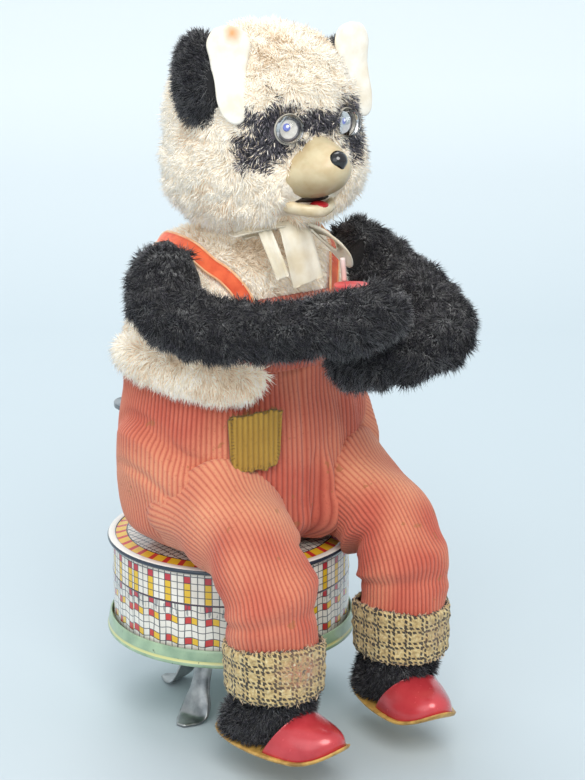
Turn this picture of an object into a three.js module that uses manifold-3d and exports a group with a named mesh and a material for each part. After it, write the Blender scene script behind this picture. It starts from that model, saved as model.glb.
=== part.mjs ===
// A seated clockwork panda: a stuffed plush and tin animal in corduroy dungarees, on a round tin stool.
// Millimetres, +Z up. The animal faces -Y and its right side is -X. Dimensions below are given from the
// stool's axis at floor level; the whole group is then moved so that the origin is under its middle.
import * as THREE from "three";
import { mergeVertices } from "three/addons/utils/BufferGeometryUtils.js";
import Module from "manifold-3d";

const wasm = await Module();
wasm.setup();

// ---- driving dimensions -------------------------------------------------------------------------
const GAP = 0.3; // air between neighbouring pieces
const TIN = 0.6; // pressed tinplate
const FORWARD = 21; // how far the stool stands behind the origin

const STOOL = { radius: 41, base: 29, wall: 34, rim: 61.5, crown: 66.5 };
const LEG_FIRST_ANGLE = 198; // degrees, the first of four legs
const TORSO = { y: -8, flatness: 0.72, radialSides: 18 };
const SHOULDER = { y: -20, z: 160 };
const HEAD = { y: -20, z: 209, rx: 35, ry: 31, rz: 32, skull: 27 };
const NOD = { y: -12, z: 177 };
const FOOT = { x: 25.7, y: -62.3, sole: 14.2, width: 25, length: 51, toeIn: 11 };
const CUFF = { x: 27, y: -60, bottom: 32.8, height: 17 };
const CAP_SLANT = 32; // degrees the back of the toe cap leans forward

const PLATE = { front: -6, back: 11, thickness: 1, half: 18, bottom: 80, top: 134 };
const BARREL = { x: 0, z: 100, teeth: 36, module: 0.8 };
const SECOND = { pinion: 12, wheel: 32, module: 0.7, angle: 135 };
const CRANK = { pinion: 10, wheel: 28, module: 0.6, angle: 38, throw: 1.85 };
const GOVERNOR = { pinion: 8, angle: 19 };
const RATCHET = { teeth: 12, outer: 6.5, inner: 5 };

const COLOUR = {
  cream: 0xe6dccb,
  black: 0x17151a,
  corduroy: 0xc05a48,
  strap: 0xe8623c,
  tweed: 0xcdbb82,
  patch: 0xc29226,
  ribbon: 0xefe6cf,
  lining: 0xf0e8da,
  muzzle: 0xd8cfa8,
  nose: 0x08080a,
  eye: 0xcfd8e0,
  red: 0xc4242c,
  ochre: 0xc99a48,
  print: 0xd8d6cc,
  green: 0x7fa27c,
  steel: 0x9a9c9e,
  brass: 0xc6a24e,
  tin: 0xb9bcc0,
  bristle: 0xe9e2d4,
};

// ---- making solids ------------------------------------------------------------------------------
const degrees = (a) => (a * Math.PI) / 180;
const range = (n) => Array.from({ length: n }, (_, i) => i);
const vec = (p) => new THREE.Vector3(...p);

function toSolid(geometry) {
  const g = geometry.clone();
  g.deleteAttribute("normal");
  g.deleteAttribute("uv");
  const merged = mergeVertices(g, 1e-4);
  const triVerts = new Uint32Array(merged.index.array);
  return new wasm.Manifold(
    new wasm.Mesh({ numProp: 3, vertProperties: merged.attributes.position.array, triVerts }),
  );
}

function toGeometry(solid) {
  const mesh = solid.getMesh();
  const g = new THREE.BufferGeometry();
  g.setAttribute("position", new THREE.BufferAttribute(mesh.vertProperties, 3));
  g.setIndex(new THREE.BufferAttribute(mesh.triVerts, 1));
  g.computeVertexNormals();
  return g;
}

const cut = (body, ...tools) =>
  toGeometry(tools.reduce((s, t) => s.subtract(toSolid(t)), toSolid(body)));
const join = (...bodies) => toGeometry(bodies.map(toSolid).reduce((a, b) => a.add(b)));
const common = (a, b) => toGeometry(toSolid(a).intersect(toSolid(b)));
const at = (g, x, y, z) => g.clone().translate(x, y, z);

// A turned piece about Z from [radius, height] points; the order of the points runs round the section.
function turned(points, sides = 28) {
  const closed = points[0][0] > 0 ? [...points, points[0]] : points;
  const profile = closed.map(([r, z]) => new THREE.Vector2(r, z));
  return new THREE.LatheGeometry(profile, sides).rotateX(Math.PI / 2);
}

// A cylinder along x, y or z from its lowest end.
function rod(radius, length, axis, [x, y, z], sides = 10) {
  const g = new THREE.CylinderGeometry(radius, radius, length, sides).translate(0, length / 2, 0);
  if (axis === "x") g.rotateZ(-Math.PI / 2);
  if (axis === "z") g.rotateX(Math.PI / 2);
  return g.translate(x, y, z);
}

const block = ([x0, y0, z0], [x1, y1, z1]) =>
  new THREE.BoxGeometry(x1 - x0, y1 - y0, z1 - z0).translate(
    (x0 + x1) / 2,
    (y0 + y1) / 2,
    (z0 + z1) / 2,
  );

const ball = ([x, y, z], [rx, ry, rz], sides = 16) =>
  new THREE.SphereGeometry(1, sides, Math.round(sides * 0.6)).scale(rx, ry, rz).translate(x, y, z);

// A tube with an optional bore along a smooth curve through the points.
function tube(points, radius, { bore = 0, sides = 12, steps = 18 } = {}) {
  const shape = new THREE.Shape().absarc(0, 0, radius, 0, Math.PI * 2);
  if (bore > 0) shape.holes.push(new THREE.Path().absarc(0, 0, bore, 0, Math.PI * 2, true));
  const path = new THREE.CatmullRomCurve3(points.map(vec));
  return new THREE.ExtrudeGeometry(shape, {
    steps,
    extrudePath: path,
    curveSegments: sides / 2,
  });
}

// A flat outline of [across, up] points in the XZ plane, from y to y + thickness.
function facing(points, y, thickness, holes = []) {
  const shape = new THREE.Shape(points.map(([u, v]) => new THREE.Vector2(u, v)));
  for (const [u, v, r] of holes)
    shape.holes.push(new THREE.Path().absarc(u, v, r, 0, Math.PI * 2, true));
  const g = new THREE.ExtrudeGeometry(shape, {
    depth: thickness,
    bevelEnabled: false,
    curveSegments: 5,
  });
  return g.rotateX(Math.PI / 2).translate(0, y + thickness, 0);
}

// A flat outline of [y, z] points, from x to x + thickness.
function sideways(points, x, thickness, holes = []) {
  return facing(points, 0, thickness, holes)
    .rotateZ(Math.PI / 2)
    .translate(x + thickness, 0, 0);
}

// Steel, tin and cloth pieces are meshes of these materials.
const materials = new Map();
function material(colour, roughness, metalness = 0) {
  const key = [colour, roughness, metalness].join();
  if (!materials.has(key))
    materials.set(key, new THREE.MeshStandardMaterial({ color: colour, roughness, metalness }));
  return materials.get(key);
}
const PLUSH = [0.95];
const METAL = [0.4, 0.9];
const PAINT = [0.3, 0.3];
const SHINY = [0.2];

const toy = new THREE.Group();
toy.position.y = FORWARD;
function add(name, geometry, colour, surface) {
  const mesh = new THREE.Mesh(geometry, material(colour, ...surface));
  mesh.name = name;
  toy.add(mesh);
}
// Calls make(side, word) for the animal's right (-1) and left (+1).
function bothSides(make) {
  make(-1, "right");
  make(1, "left");
}

// ---- the stool ----------------------------------------------------------------------------------
const boltHole = (radius) => rod(radius, 50, "z", [0, 0, STOOL.base - 3]);

function stool() {
  const { radius: r, base, wall, rim, crown } = STOOL;
  const drum = [
    [r, wall],
    [r, rim - GAP],
    [r - TIN, rim - GAP],
    [r - TIN, wall],
  ];
  add("stool_drum", turned(drum, 28), COLOUR.print, PAINT);
  const seat = [
    [2.6, crown - 1.2],
    [r - 5, rim + 0.4],
    [r + 0.8, rim],
    [r + 1.6, rim + 1],
    [r + 1, rim + 2.2],
    [r - 5, rim + 2.6],
    [2.6, crown - 0.4],
  ];
  add("stool_seat", turned(seat, 28), COLOUR.print, PAINT);
  const pan = [
    [0, base],
    [r + 1.8, base],
    [r + 2.4, base + 0.8],
    [r + 1.4, wall + 1.2],
    [r + 0.5, wall + 1.2],
    [r + 1.2, base + 1.6],
    [r - 1, wall - GAP],
    [r - 3, base + 1],
    [0, base + 1],
  ];
  add("stool_base", cut(turned(pan, 28), boltHole(2.4)), COLOUR.green, PAINT);
  for (const i of range(4)) add(`stool_leg_${i + 1}`, stoolLeg(i), COLOUR.steel, METAL);
  const boltTop = 74;
  const bolt = join(
    rod(4, 1.6, "z", [0, 0, base - 3.2], 6),
    rod(1.8, boltTop - base + 2, "z", [0, 0, base - 2]),
  );
  add("stool_bolt", bolt, COLOUR.steel, METAL);
}

// One pressed strip leg: a lug under the pan, a splayed shank and a flat toe pad on the floor.
function stoolLeg(index) {
  const top = STOOL.base - GAP;
  const profile = [
    [9, top],
    [9, top - 1],
    [13, top - 1],
    [22, 1.4],
    [23, 0],
    [29, 0],
    [29, 1],
    [24, 1.2],
    [14.2, top],
  ];
  const width = [
    [8, 3.4],
    [15, 3.2],
    [21, 3.4],
    [25, 6],
    [28.5, 5.2],
    [30, 2.5],
  ];
  const outline = [...width.map(([r, w]) => [r, -w]), ...width.map(([r, w]) => [r, w]).reverse()];
  const side = facing(profile, -8, 16);
  const plan = new THREE.ExtrudeGeometry(new THREE.Shape(outline.map((p) => new THREE.Vector2(...p))), {
    depth: 40,
    bevelEnabled: false,
  }).translate(0, 0, -2);
  return common(side, plan).rotateZ(degrees(LEG_FIRST_ANGLE + 90 * index));
}

// ---- the clockwork ------------------------------------------------------------------------------
// A spur wheel with its axis along Y and a tooth centred on the phase angle, measured from +X to +Z.
function gear(teeth, module, thickness, phase, bore) {
  const pitch = (Math.PI * 2) / teeth;
  const radius = (teeth * module) / 2;
  const flank = [
    [-0.3, radius - 1.2 * module],
    [-0.1, radius + 0.85 * module],
    [0.1, radius + 0.85 * module],
    [0.3, radius - 1.2 * module],
  ];
  const points = range(teeth).flatMap((i) =>
    flank.map(([share, r]) => {
      const a = phase + (i + share) * pitch;
      return [r * Math.cos(a), r * Math.sin(a)];
    }),
  );
  return facing(points, 0, thickness, bore ? [[0, 0, bore]] : []);
}

const along = (from, distance, angle) => ({
  x: from.x + distance * Math.cos(angle),
  z: from.z + distance * Math.sin(angle),
});
const meshPhase = (angle, teeth) => angle + Math.PI + Math.PI / teeth;

const secondAngle = degrees(SECOND.angle);
const second = along(BARREL, ((BARREL.teeth + SECOND.pinion) * BARREL.module) / 2, secondAngle);
const crankAngle = degrees(CRANK.angle);
const crank = along(second, ((SECOND.wheel + CRANK.pinion) * SECOND.module) / 2, crankAngle);
const governorAngle = degrees(GOVERNOR.angle);
const governor = along(crank, ((CRANK.wheel + GOVERNOR.pinion) * CRANK.module) / 2, governorAngle);
const ARBOR = 1.2;
const PIVOT_HOLE = 1.5;

function framePlates() {
  const { front, back, thickness: t, half, bottom, top } = PLATE;
  const pivots = [second, crank, governor].map(({ x, z }) => [x, z, PIVOT_HOLE]);
  const holes = [[BARREL.x, BARREL.z, 2.8], ...pivots];
  const tongue = SHOULDER.z + 4.7;
  const outline = [
    [-half, bottom],
    [half, bottom],
    [half, top],
    [9, top + 4],
    [9, tongue],
    [-9, tongue],
    [-9, top + 4],
    [-half, top],
  ];
  const posts = [
    [-15, 84],
    [15, 84],
    [-15.5, 130.5],
    [15.5, 130.5],
  ].map(([x, z]) => rod(1.6, back - front - t + 0.1, "y", [x, front + t - 0.2, z], 10));
  const foot = block([-6, front + 0.5, 77.5], [6, 6, 79]);
  const web = block([-6, front, 77.5], [6, front + t, bottom + 1]);
  const whole = join(facing(outline, front, t, holes), ...posts, foot, web, frameSeat());
  add("frame_plate_front", whole, COLOUR.steel, METAL);
  const rear = [
    [-half, bottom],
    [half, bottom],
    [half, top],
    [-half, top],
  ];
  add("frame_plate_back", facing(rear, back + GAP, t, holes), COLOUR.steel, METAL);
}

// The bent strap that the seat bolt screws into, under the front plate's foot.
function frameSeat() {
  return cut(
    turned(
      [
        [0, 74.5],
        [9, 74.5],
        [9, 78],
        [0, 78],
      ],
      12,
    ),
    rod(2.1, 2, "z", [0, 0, 73]),
  );
}

function windingKey() {
  const { x, z } = BARREL;
  const stem = rod(2, 21, "y", [x, 18.2, z]);
  const wing = (side) => {
    const ring = new THREE.Shape().absellipse(side * 9.5, 0, 7.5, 9, 0, Math.PI * 2);
    ring.holes.push(new THREE.Path().absellipse(side * 10, 0, 4.5, 5.8, 0, Math.PI * 2, true));
    return new THREE.ExtrudeGeometry(ring, { depth: 1.6, bevelEnabled: false, curveSegments: 9 });
  };
  // the wings lie in the plane of the stem, so the flat of the bow holds the axis
  const bow = (side) => wing(side).translate(0, 0, -0.8).translate(x, 43.5, z);
  const neck = block([x - 3, 37, z - 0.8], [x + 3, 47, z + 0.8]);
  add("winding_key", join(stem, neck, bow(-1), bow(1)), COLOUR.tin, METAL);
}

function mainspringAndBarrel() {
  const { x, z, teeth, module } = BARREL;
  const lidHole = 2.6;
  const wheel = gear(teeth, module, 1.6, secondAngle, lidHole);
  const drum = [
    [11.2, 0],
    [11.9, 0],
    [11.9, 8.5],
    [11.2, 8.5],
  ];
  const wall = turned(drum, 24).rotateX(-Math.PI / 2);
  const whole = join(at(wheel, x, 3, z), wall.translate(x, -5.3 + 0.9, z));
  add("mainspring_barrel", whole, COLOUR.brass, METAL);
  add("mainspring", mainspring(), COLOUR.steel, METAL);
  const arbor = join(
    rod(2.4, 20.6, "y", [x, -6.6, z], 12),
    rod(3.2, 2.2, "y", [x, 13.6, z], 12),
    at(ratchetWheel(), x, 13.8, z),
    rod(1.9, 2.2, "y", [x, 15.6, z], 4),
  );
  add("ratchet_arbor", arbor, COLOUR.steel, METAL);
}

// A flat spiral strip inside the barrel.
function mainspring() {
  const turns = 4;
  const steps = turns * 12;
  const inner = 3.4;
  const outer = 10.6;
  const strip = 0.5;
  const spiral = (offset) =>
    range(steps + 1).map((i) => {
      const r = inner + ((outer - inner) * i) / steps + offset;
      const a = (i * turns * Math.PI * 2) / steps;
      return [BARREL.x + r * Math.cos(a), BARREL.z + r * Math.sin(a)];
    });
  return facing([...spiral(strip), ...spiral(0).reverse()], -3.8, 6.3);
}

function ratchetWheel() {
  const { teeth, outer, inner } = RATCHET;
  const step = (Math.PI * 2) / teeth;
  const points = range(teeth).flatMap((i) => [
    [inner * Math.cos(i * step), inner * Math.sin(i * step)],
    [outer * Math.cos(i * step + 0.01), outer * Math.sin(i * step + 0.01)],
  ]);
  return facing(points, 0, 1.4);
}

// The click that holds the ratchet: its nose stands in a tooth gap, clear of the tooth's face.
const CLICK = { x: 11.5, z: 107 };
function click() {
  const angle = degrees(60);
  const noseAt = (r, lag) => [
    BARREL.x + r * Math.cos(angle - degrees(lag)),
    BARREL.z + r * Math.sin(angle - degrees(lag)),
  ];
  const lever = [
    noseAt(5.9, 4),
    noseAt(6.2, 9),
    [CLICK.x - 1.6, CLICK.z - 2.2],
    [CLICK.x + 2, CLICK.z - 1.4],
    [CLICK.x + 2, CLICK.z + 1.6],
    [CLICK.x - 1.5, CLICK.z + 1.8],
    noseAt(7.6, 4),
  ];
  const pin = rod(1.1, 2.4, "y", [CLICK.x, 12.7, CLICK.z], 10);
  add("click", join(facing(lever, 13.9, 1.2), pin), COLOUR.brass, METAL);
}

function trainWheels() {
  const { front, back } = PLATE;
  const span = back - front + 1.4;
  const arborOf = ({ x, z }, from = front - 0.2, length = span) =>
    rod(ARBOR, length, "y", [x, from, z], 10);
  const pinion = (teeth, module, width, angle) =>
    gear(teeth, module, width, meshPhase(angle, teeth));
  const secondPinion = pinion(SECOND.pinion, BARREL.module, 2, secondAngle);
  const secondWheel = gear(SECOND.wheel, SECOND.module, 1.2, crankAngle);
  const secondWhole = join(
    arborOf(second),
    at(secondPinion, second.x, 2.8, second.z),
    at(secondWheel, second.x, 6.4, second.z),
  );
  add("second_wheel", secondWhole, COLOUR.brass, METAL);
  const crankPinion = at(pinion(CRANK.pinion, SECOND.module, 1.8, crankAngle), crank.x, 6.1, crank.z);
  const crankWheel = at(gear(CRANK.wheel, CRANK.module, 1, governorAngle), crank.x, -2.4, crank.z);
  const crankArbor = arborOf(crank, front - 1.4, span + 1.2);
  add("crank_wheel", join(crankArbor, crankPinion, crankWheel), COLOUR.brass, METAL);
  const disc = join(
    rod(5, 1.4, "y", [crank.x, front - 3.1, crank.z], 20),
    rod(1, 3.4, "y", [crank.x, front - 6.4, crank.z + CRANK.throw], 10),
  );
  add("crank_disc", disc, COLOUR.steel, METAL);
  const governorPinion = pinion(GOVERNOR.pinion, CRANK.module, 1.6, governorAngle);
  const vane = 6.2;
  const blade = block(
    [governor.x - vane, 1.5, governor.z - TIN / 2],
    [governor.x + vane, 5, governor.z + TIN / 2],
  );
  const fan = join(arborOf(governor), at(governorPinion, governor.x, -2.7, governor.z), blade);
  add("governor_fan", fan, COLOUR.tin, METAL);
}

// The bent bracket on top of the frame: bearings for both shoulder shafts and the neck post.
function neckBracket() {
  const { y, z } = SHOULDER;
  const cheek = (x) =>
    sideways(
      [
        [y - 3.4, z - 6],
        [y + 4, z - 6],
        [PLATE.front - 1, z + 5],
        [PLATE.front - 1, z + 6.2],
        [y - 3.4, z + 6.2],
      ],
      x,
      1,
      [[y, z, 2.1]],
    );
  const bridge = block([-12.5, y - 3.4, z + 5], [12.5, PLATE.front + 1, z + 6.2]);
  const blade = block([-1.2, NOD.y - 2.2, z + 6], [1.2, NOD.y + 2.2, NOD.z + 1.6]);
  const pin = rod(1.1, 7.6, "x", [-3.8, NOD.y, NOD.z], 10);
  add("neck_bracket", join(cheek(-12.5), cheek(11.5), bridge, blade, pin), COLOUR.steel, METAL);
}

// ---- arms ---------------------------------------------------------------------------------------
const ARM_PATH = {
  right: [
    [-37, SHOULDER.y, SHOULDER.z],
    [-42.5, -20.6, 157.5],
    [-45, -28, 152],
    [-42.5, -40, 148],
    [-34, -53, 147],
    [-22, -66, 150],
    [-11, -76, 153.5],
    [-4, -82, 156],
  ],
  left: [
    [37, SHOULDER.y, SHOULDER.z],
    [43, -22, 156.5],
    [45, -37, 150],
    [40.5, -60, 147],
    [31, -75, 143.5],
    [19, -76, 140.5],
    [10, -70, 138],
    [4, -63, 136.5],
  ],
};
const LEVER = { reach: 10, bottom: 131 }; // shoulder lever, and the open foot of its link

function arms() {
  bothSides((side, word) => {
    const path = ARM_PATH[word];
    const paw = ball(path.at(-1), [11.5, 12.5, 11.5], 12);
    const wireHole = tube(path, 2.8, { sides: 6, steps: 10 });
    const sleeve = cut(join(tube(path, 9.6, { sides: 10, steps: 10 }), paw), wireHole);
    add(`arm_sleeve_${word}`, sleeve, COLOUR.black, PLUSH);
    add(`arm_lever_${word}`, armLever(side, path), COLOUR.steel, METAL);
    add(`arm_link_${word}`, armLink(side), COLOUR.steel, METAL);
  });
}

const linkX = (side) => crank.x + side * 3;

// Shoulder shaft, the short lever inside the body and the wire that stiffens the arm.
function armLever(side, path) {
  const { y, z } = SHOULDER;
  const inner = linkX(side) - side * 1.2;
  const length = Math.abs(side * 37.4 - inner);
  const shaft = rod(1.7, length, "x", [Math.min(side * 37.4, inner), y, z], 10);
  const lever = sideways(
    [
      [y - 3, z - 2.6],
      [y + LEVER.reach + 2, z - 1.8],
      [y + LEVER.reach + 2, z + 1.8],
      [y - 3, z + 2.6],
    ],
    linkX(side) - 0.7 - side * 0.6,
    1.4,
    [[y + LEVER.reach, z, 1.1]],
  );
  const wire = tube(path, 1.4, { sides: 6, steps: 10 });
  return join(shaft, lever, wire);
}

// A link that hangs from the lever's end down to the crank pin, its lower eye open.
function armLink(side) {
  const y = SHOULDER.y + LEVER.reach;
  const x = linkX(side) + side * 0.5;
  const bar = sideways(
    [
      [y - 1.4, LEVER.bottom],
      [y + 1.4, LEVER.bottom],
      [y + 2, SHOULDER.z + 2.4],
      [y - 2, SHOULDER.z + 2.4],
    ],
    side > 0 ? x : x - 1.2,
    1.2,
  );
  const pin = rod(0.8, 2.6, "x", [side > 0 ? x - 2.2 : x - 0.4, y, SHOULDER.z], 8);
  return join(bar, pin);
}

// ---- body ---------------------------------------------------------------------------------------
// An oval ring or bowl: a turned section flattened front to back about the body's middle plane.
const oval = (points, sides = TORSO.radialSides) =>
  turned(points, sides)
    .scale(1, TORSO.flatness, 1)
    .translate(0, TORSO.y, 0);
const inset = (points, d) => points.map(([r, z]) => [r - d, z]).reverse();

const WAIST = 131;
const BODY_SIDE = [
  [41, 78],
  [44, 90],
  [42.3, 108],
  [39.6, 122],
  [38.4, WAIST],
  [37.6, 141],
  [35.5, 151],
  [33.6, 160],
];
const NECK_HOLE = 16;

function tinBody() {
  const outer = [[10, 71.5], [31, 71.5], ...BODY_SIDE, [28.5, 166.6], [NECK_HOLE, 169.6]];
  const inner = [[NECK_HOLE, 169], [28.2, 166], ...inset(BODY_SIDE, TIN), [30.8, 72.1], [10, 72.1]];
  const shell = oval([...outer, ...inner]);
  const shafts = rod(3, 100, "x", [-50, SHOULDER.y, SHOULDER.z]);
  const keyHole = rod(3.4, 30, "y", [BARREL.x, 14, BARREL.z]);
  const whole = cut(shell, shafts, keyHole, boltHole(2.6));
  const seam = TORSO.y;
  const half = (from, to) => common(whole, block([-60, from, 60], [60, to, 180]));
  add("body_shell_front", half(-60, seam - GAP / 2), COLOUR.tin, METAL);
  add("body_shell_back", half(seam + GAP / 2, 50), COLOUR.tin, METAL);
}

function plushChest() {
  const outer = [
    [42.2, WAIST + 1],
    [43.6, 135],
    [42.4, 142],
    [39.8, 151],
    [37.4, 160],
    [31.5, 168.4],
    [25, 171.6],
    [NECK_HOLE, 173],
  ];
  const overShell = inset(BODY_SIDE.slice(4), -0.5);
  const inner = [[NECK_HOLE, 170.4], [28.6, 167.4], ...overShell];
  const armholes = [-1, 1].map((side) => {
    const from = side > 0 ? 31.8 : -60;
    return rod(13.6, 28.2, "x", [from, SHOULDER.y, SHOULDER.z], 20);
  });
  const shafts = rod(3, 100, "x", [-50, SHOULDER.y, SHOULDER.z]);
  add("plush_chest", cut(oval([...outer, ...inner]), ...armholes, shafts), COLOUR.cream, PLUSH);
}

const TROUSER_SIDE = [
  [34, 68.2],
  [44.5, 75],
  [47.4, 90],
  [46, 108],
  [43.2, 122],
  [42.2, WAIST],
];
const trouserHull = (extra) =>
  oval([[0, 67 - extra], ...TROUSER_SIDE.map(([r, z]) => [r + extra, z]), [0, WAIST + 1]]);

function dungarees() {
  const outer = [[8, 67.6], ...TROUSER_SIDE];
  const inner = [
    [39.6, WAIST],
    [41, 122],
    [43.6, 108],
    [45.2, 90],
    [42.3, 76.6],
    [33, 70.2],
    [8, 69.6],
  ];
  const keyHole = rod(4.5, 30, "y", [BARREL.x, 14, BARREL.z]);
  add("dungarees_body", cut(oval([...outer, ...inner]), keyHole, boltHole(2.6)), COLOUR.corduroy, PLUSH);
  add("dungarees_bib", bib(), COLOUR.corduroy, PLUSH);
  bothSides((side, word) => {
    const leg = legTube(side, 15.5, 4.2);
    add(`trouser_leg_${word}`, cut(leg, trouserHull(0.4)), COLOUR.corduroy, PLUSH);
    add(`suspender_${word}`, suspender(side), COLOUR.strap, PLUSH);
  });
  add("belly_patch", patch(), COLOUR.patch, PLUSH);
}

// The front panel of the dungarees, lying on the chest.
function bib() {
  const panel = oval([
    [44.3, WAIST + 0.6],
    [45.3, 135],
    [44.1, 142],
    [41.5, 151],
    [40.8, 154],
    [39.8, 154],
    [40.4, 151],
    [43, 142],
    [44.2, 135],
    [43.2, WAIST + 0.6],
  ]);
  const outline = [
    [-30, WAIST],
    [30, WAIST],
    [18, 154],
    [-18, 154],
  ];
  return common(panel, facing(outline, -60, 45));
}

const patch = () => {
  const plate = [
    [-9, 9],
    [-9, -6],
    [-6, -9.5],
    [6, -9.5],
    [9, -6],
    [9, 9],
  ];
  return facing(plate, -0.6, 1.2)
    .rotateZ(degrees(-15))
    .translate(-18.5, -40.2, 109);
};

// A band from the bib's corner over the shoulder to the waist at the back.
function suspender(side) {
  const route = [
    [-37.4, 152.5],
    [-35.8, 160],
    [-32.2, 166.5],
    [-26, 171.4],
    [-18, 174.3],
    [-8, 175.4],
    [3, 174],
    [11, 169.5],
    [16, 162],
    [20, 150],
    [22.6, 138],
    [24.2, 132],
  ];
  const thickness = 0.9;
  const lifted = route.map(([y, z], i) => {
    const [y0, z0] = route[Math.max(i - 1, 0)];
    const [y1, z1] = route[Math.min(i + 1, route.length - 1)];
    const length = Math.hypot(y1 - y0, z1 - z0);
    return [y - ((z1 - z0) / length) * thickness, z + ((y1 - y0) / length) * thickness];
  });
  const width = 6.5;
  return sideways([...lifted, ...[...route].reverse()], side * 20 - width / 2, width);
}

// ---- legs and feet ------------------------------------------------------------------------------
const legPath = (side) => [
  [side * 20, -27, 83],
  [side * 25, -41, 83.5],
  [side * 28, -53, 80],
  [side * 28.5, -60, 71],
  [side * 28, -60.5, 60],
  [side * 27, -60, 50.5],
];
const legTube = (side, radius, bore) => tube(legPath(side), radius, { bore, sides: 10, steps: 9 });

function legWire(side, radius) {
  const down = legPath(side).slice(2);
  const route = [
    [side * 24, -40.5, 83.5],
    ...down,
    [side * 26.5, -59.5, 36],
    [side * 26, -59, FOOT.sole + GAP],
  ];
  return tube(route, radius, { sides: 6, steps: 11 });
}

function legs() {
  bothSides((side, word) => {
    add(`leg_wire_${word}`, cut(legWire(side, 1.8), trouserHull(0.4)), COLOUR.steel, METAL);
    const cuff = turned(
      [
        [15.4, 0],
        [16.2, 0.8],
        [16.6, CUFF.height - 1],
        [16, CUFF.height],
        [14.6, CUFF.height],
        [14.2, 0],
      ],
      18,
    );
    const placed = cuff.translate(side * CUFF.x, CUFF.y, CUFF.bottom);
    const band = cut(placed, legTube(side, 15.8, 0));
    add(`cuff_${word}`, band, COLOUR.tweed, PLUSH);
    add(`ankle_fur_${word}`, ankleFur(side), COLOUR.black, PLUSH);
    add(`shoe_toe_cap_${word}`, shoe(toeCap(), side), COLOUR.red, PAINT);
    add(`shoe_sole_${word}`, shoe(shoeSole(), side), COLOUR.ochre, PAINT);
  });
}

// Shoe pieces are made about the middle of the sole, toe to -Y, then set in place and toed in.
const shoe = (geometry, side) =>
  geometry.rotateZ(degrees(-side * FOOT.toeIn)).translate(side * FOOT.x, FOOT.y, 0);
const TOE_SPRING = { from: -12, rate: 0.028 };
function sprung(geometry) {
  const p = geometry.attributes.position;
  for (const i of range(p.count)) {
    const past = Math.min(0, p.getY(i) - TOE_SPRING.from);
    p.setZ(i, p.getZ(i) + TOE_SPRING.rate * past * past);
  }
  return geometry;
}
const footPlan = (grow) => {
  const a = FOOT.width / 2 + grow;
  const b = FOOT.length / 2 + grow;
  return range(28).map((i) => {
    const t = (i * Math.PI * 2) / 28;
    const bulge = 1 - 0.1 * Math.sin(t); // wider towards the toe
    return [a * Math.sign(Math.cos(t)) * Math.abs(Math.cos(t)) ** 0.85 * bulge, b * Math.sin(t)];
  });
};

function shoeSole() {
  const shape = new THREE.Shape(footPlan(0).map((p) => new THREE.Vector2(...p)));
  const slab = new THREE.ExtrudeGeometry(shape, { depth: 1.1, bevelEnabled: false });
  const strips = range(8).map((i) => {
    const width = FOOT.length / 8;
    const y = -FOOT.length / 2 + i * width;
    return toSolid(slab).intersect(toSolid(block([-20, y - 0.001, -1], [20, y + width, 3])));
  });
  const pieces = strips.reduce((a, b) => a.add(b));
  return sprung(toGeometry(pieces).translate(0, 0, FOOT.sole - 1.1));
}

// Everything behind the slanting plane where the red toe cap ends, or in front of it.
function slanted(from, to, y) {
  return block([-30, from, -40], [30, to, 60])
    .rotateX(degrees(CAP_SLANT))
    .translate(0, y, FOOT.sole);
}
const CAP_END = -2;

function toeCap() {
  const size = [11.4, 20.2, 12.4];
  const dome = (shrink) => ball([0, -4.4, FOOT.sole], size.map((r) => r - shrink), 16);
  const above = (level) => block([-20, -40, level], [20, 40, 60]);
  const solid = common(dome(0), above(FOOT.sole + GAP));
  const hollow = common(dome(TIN + 0.1), above(FOOT.sole));
  return sprung(cut(solid, hollow, slanted(0, 60, CAP_END)));
}

function ankleFur(side) {
  const heel = ball([0, 3.4, FOOT.sole], [10.8, 21, 21], 14);
  const slab = block([-20, -40, FOOT.sole + GAP], [20, 40, CUFF.bottom - 0.6]);
  const front = slanted(-60, 0, CAP_END + 0.4);
  return cut(shoe(cut(common(heel, slab), front), side), legWire(side, 2.6));
}

// ---- head ---------------------------------------------------------------------------------------
const headAt = (dx, dy, dz) => [dx, HEAD.y + dy, HEAD.z + dz];
const skullBall = (extra) => {
  const r = HEAD.skull + extra;
  return ball(headAt(0, 0, 0), [r, r, r], 14);
};
const furBall = (extra) =>
  ball(headAt(0, 0, 0), [HEAD.rx + extra, HEAD.ry + extra, HEAD.rz + extra], 18);
const muzzleBall = (extra) => ball([0, -39, 197], [14.5 + extra, 16.6 + extra, 13 + extra], 16);
const EYE = { x: 11.5, y: -45.2, z: 208.6, radius: 5.4 };

function head() {
  const neck = rod(15.5, 30, "z", [0, NOD.y, 165], 20);
  const skull = cut(skullBall(0), skullBall(-1.4), neck);
  add("head_shell", skull, COLOUR.muzzle, SHINY);
  const eyeHoles = [-1, 1].map((side) => rod(6.2, 40, "y", [side * EYE.x, -75, EYE.z], 16));
  const earSlots = [-1, 1].map((side) => earLining(side, 1.05, 3));
  const fur = cut(furBall(0), skullBall(0.4), muzzleBall(0.5), neck, ...eyeHoles, ...earSlots);
  add("head_plush", fur, COLOUR.cream, PLUSH);
  add("muzzle", cut(muzzleBall(0), skullBall(0.3), noseBall(0.3)), COLOUR.muzzle, SHINY);
  add("nose", noseBall(0), COLOUR.nose, SHINY);
  bothSides((side, word) => {
    const dome = ball([side * EYE.x, EYE.y, EYE.z], [EYE.radius, 4.6, EYE.radius], 12);
    add(`eye_${word}`, cut(dome, skullBall(0.3), muzzleBall(0.3)), COLOUR.eye, SHINY);
    ear(side, word);
  });
  add("head_bracket", headBracket(), COLOUR.steel, METAL);
}

const noseBall = (extra) => ball([0, -56.4, 200.6], [4 + extra, 3.2 + extra, 3.6 + extra], 12);

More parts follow.
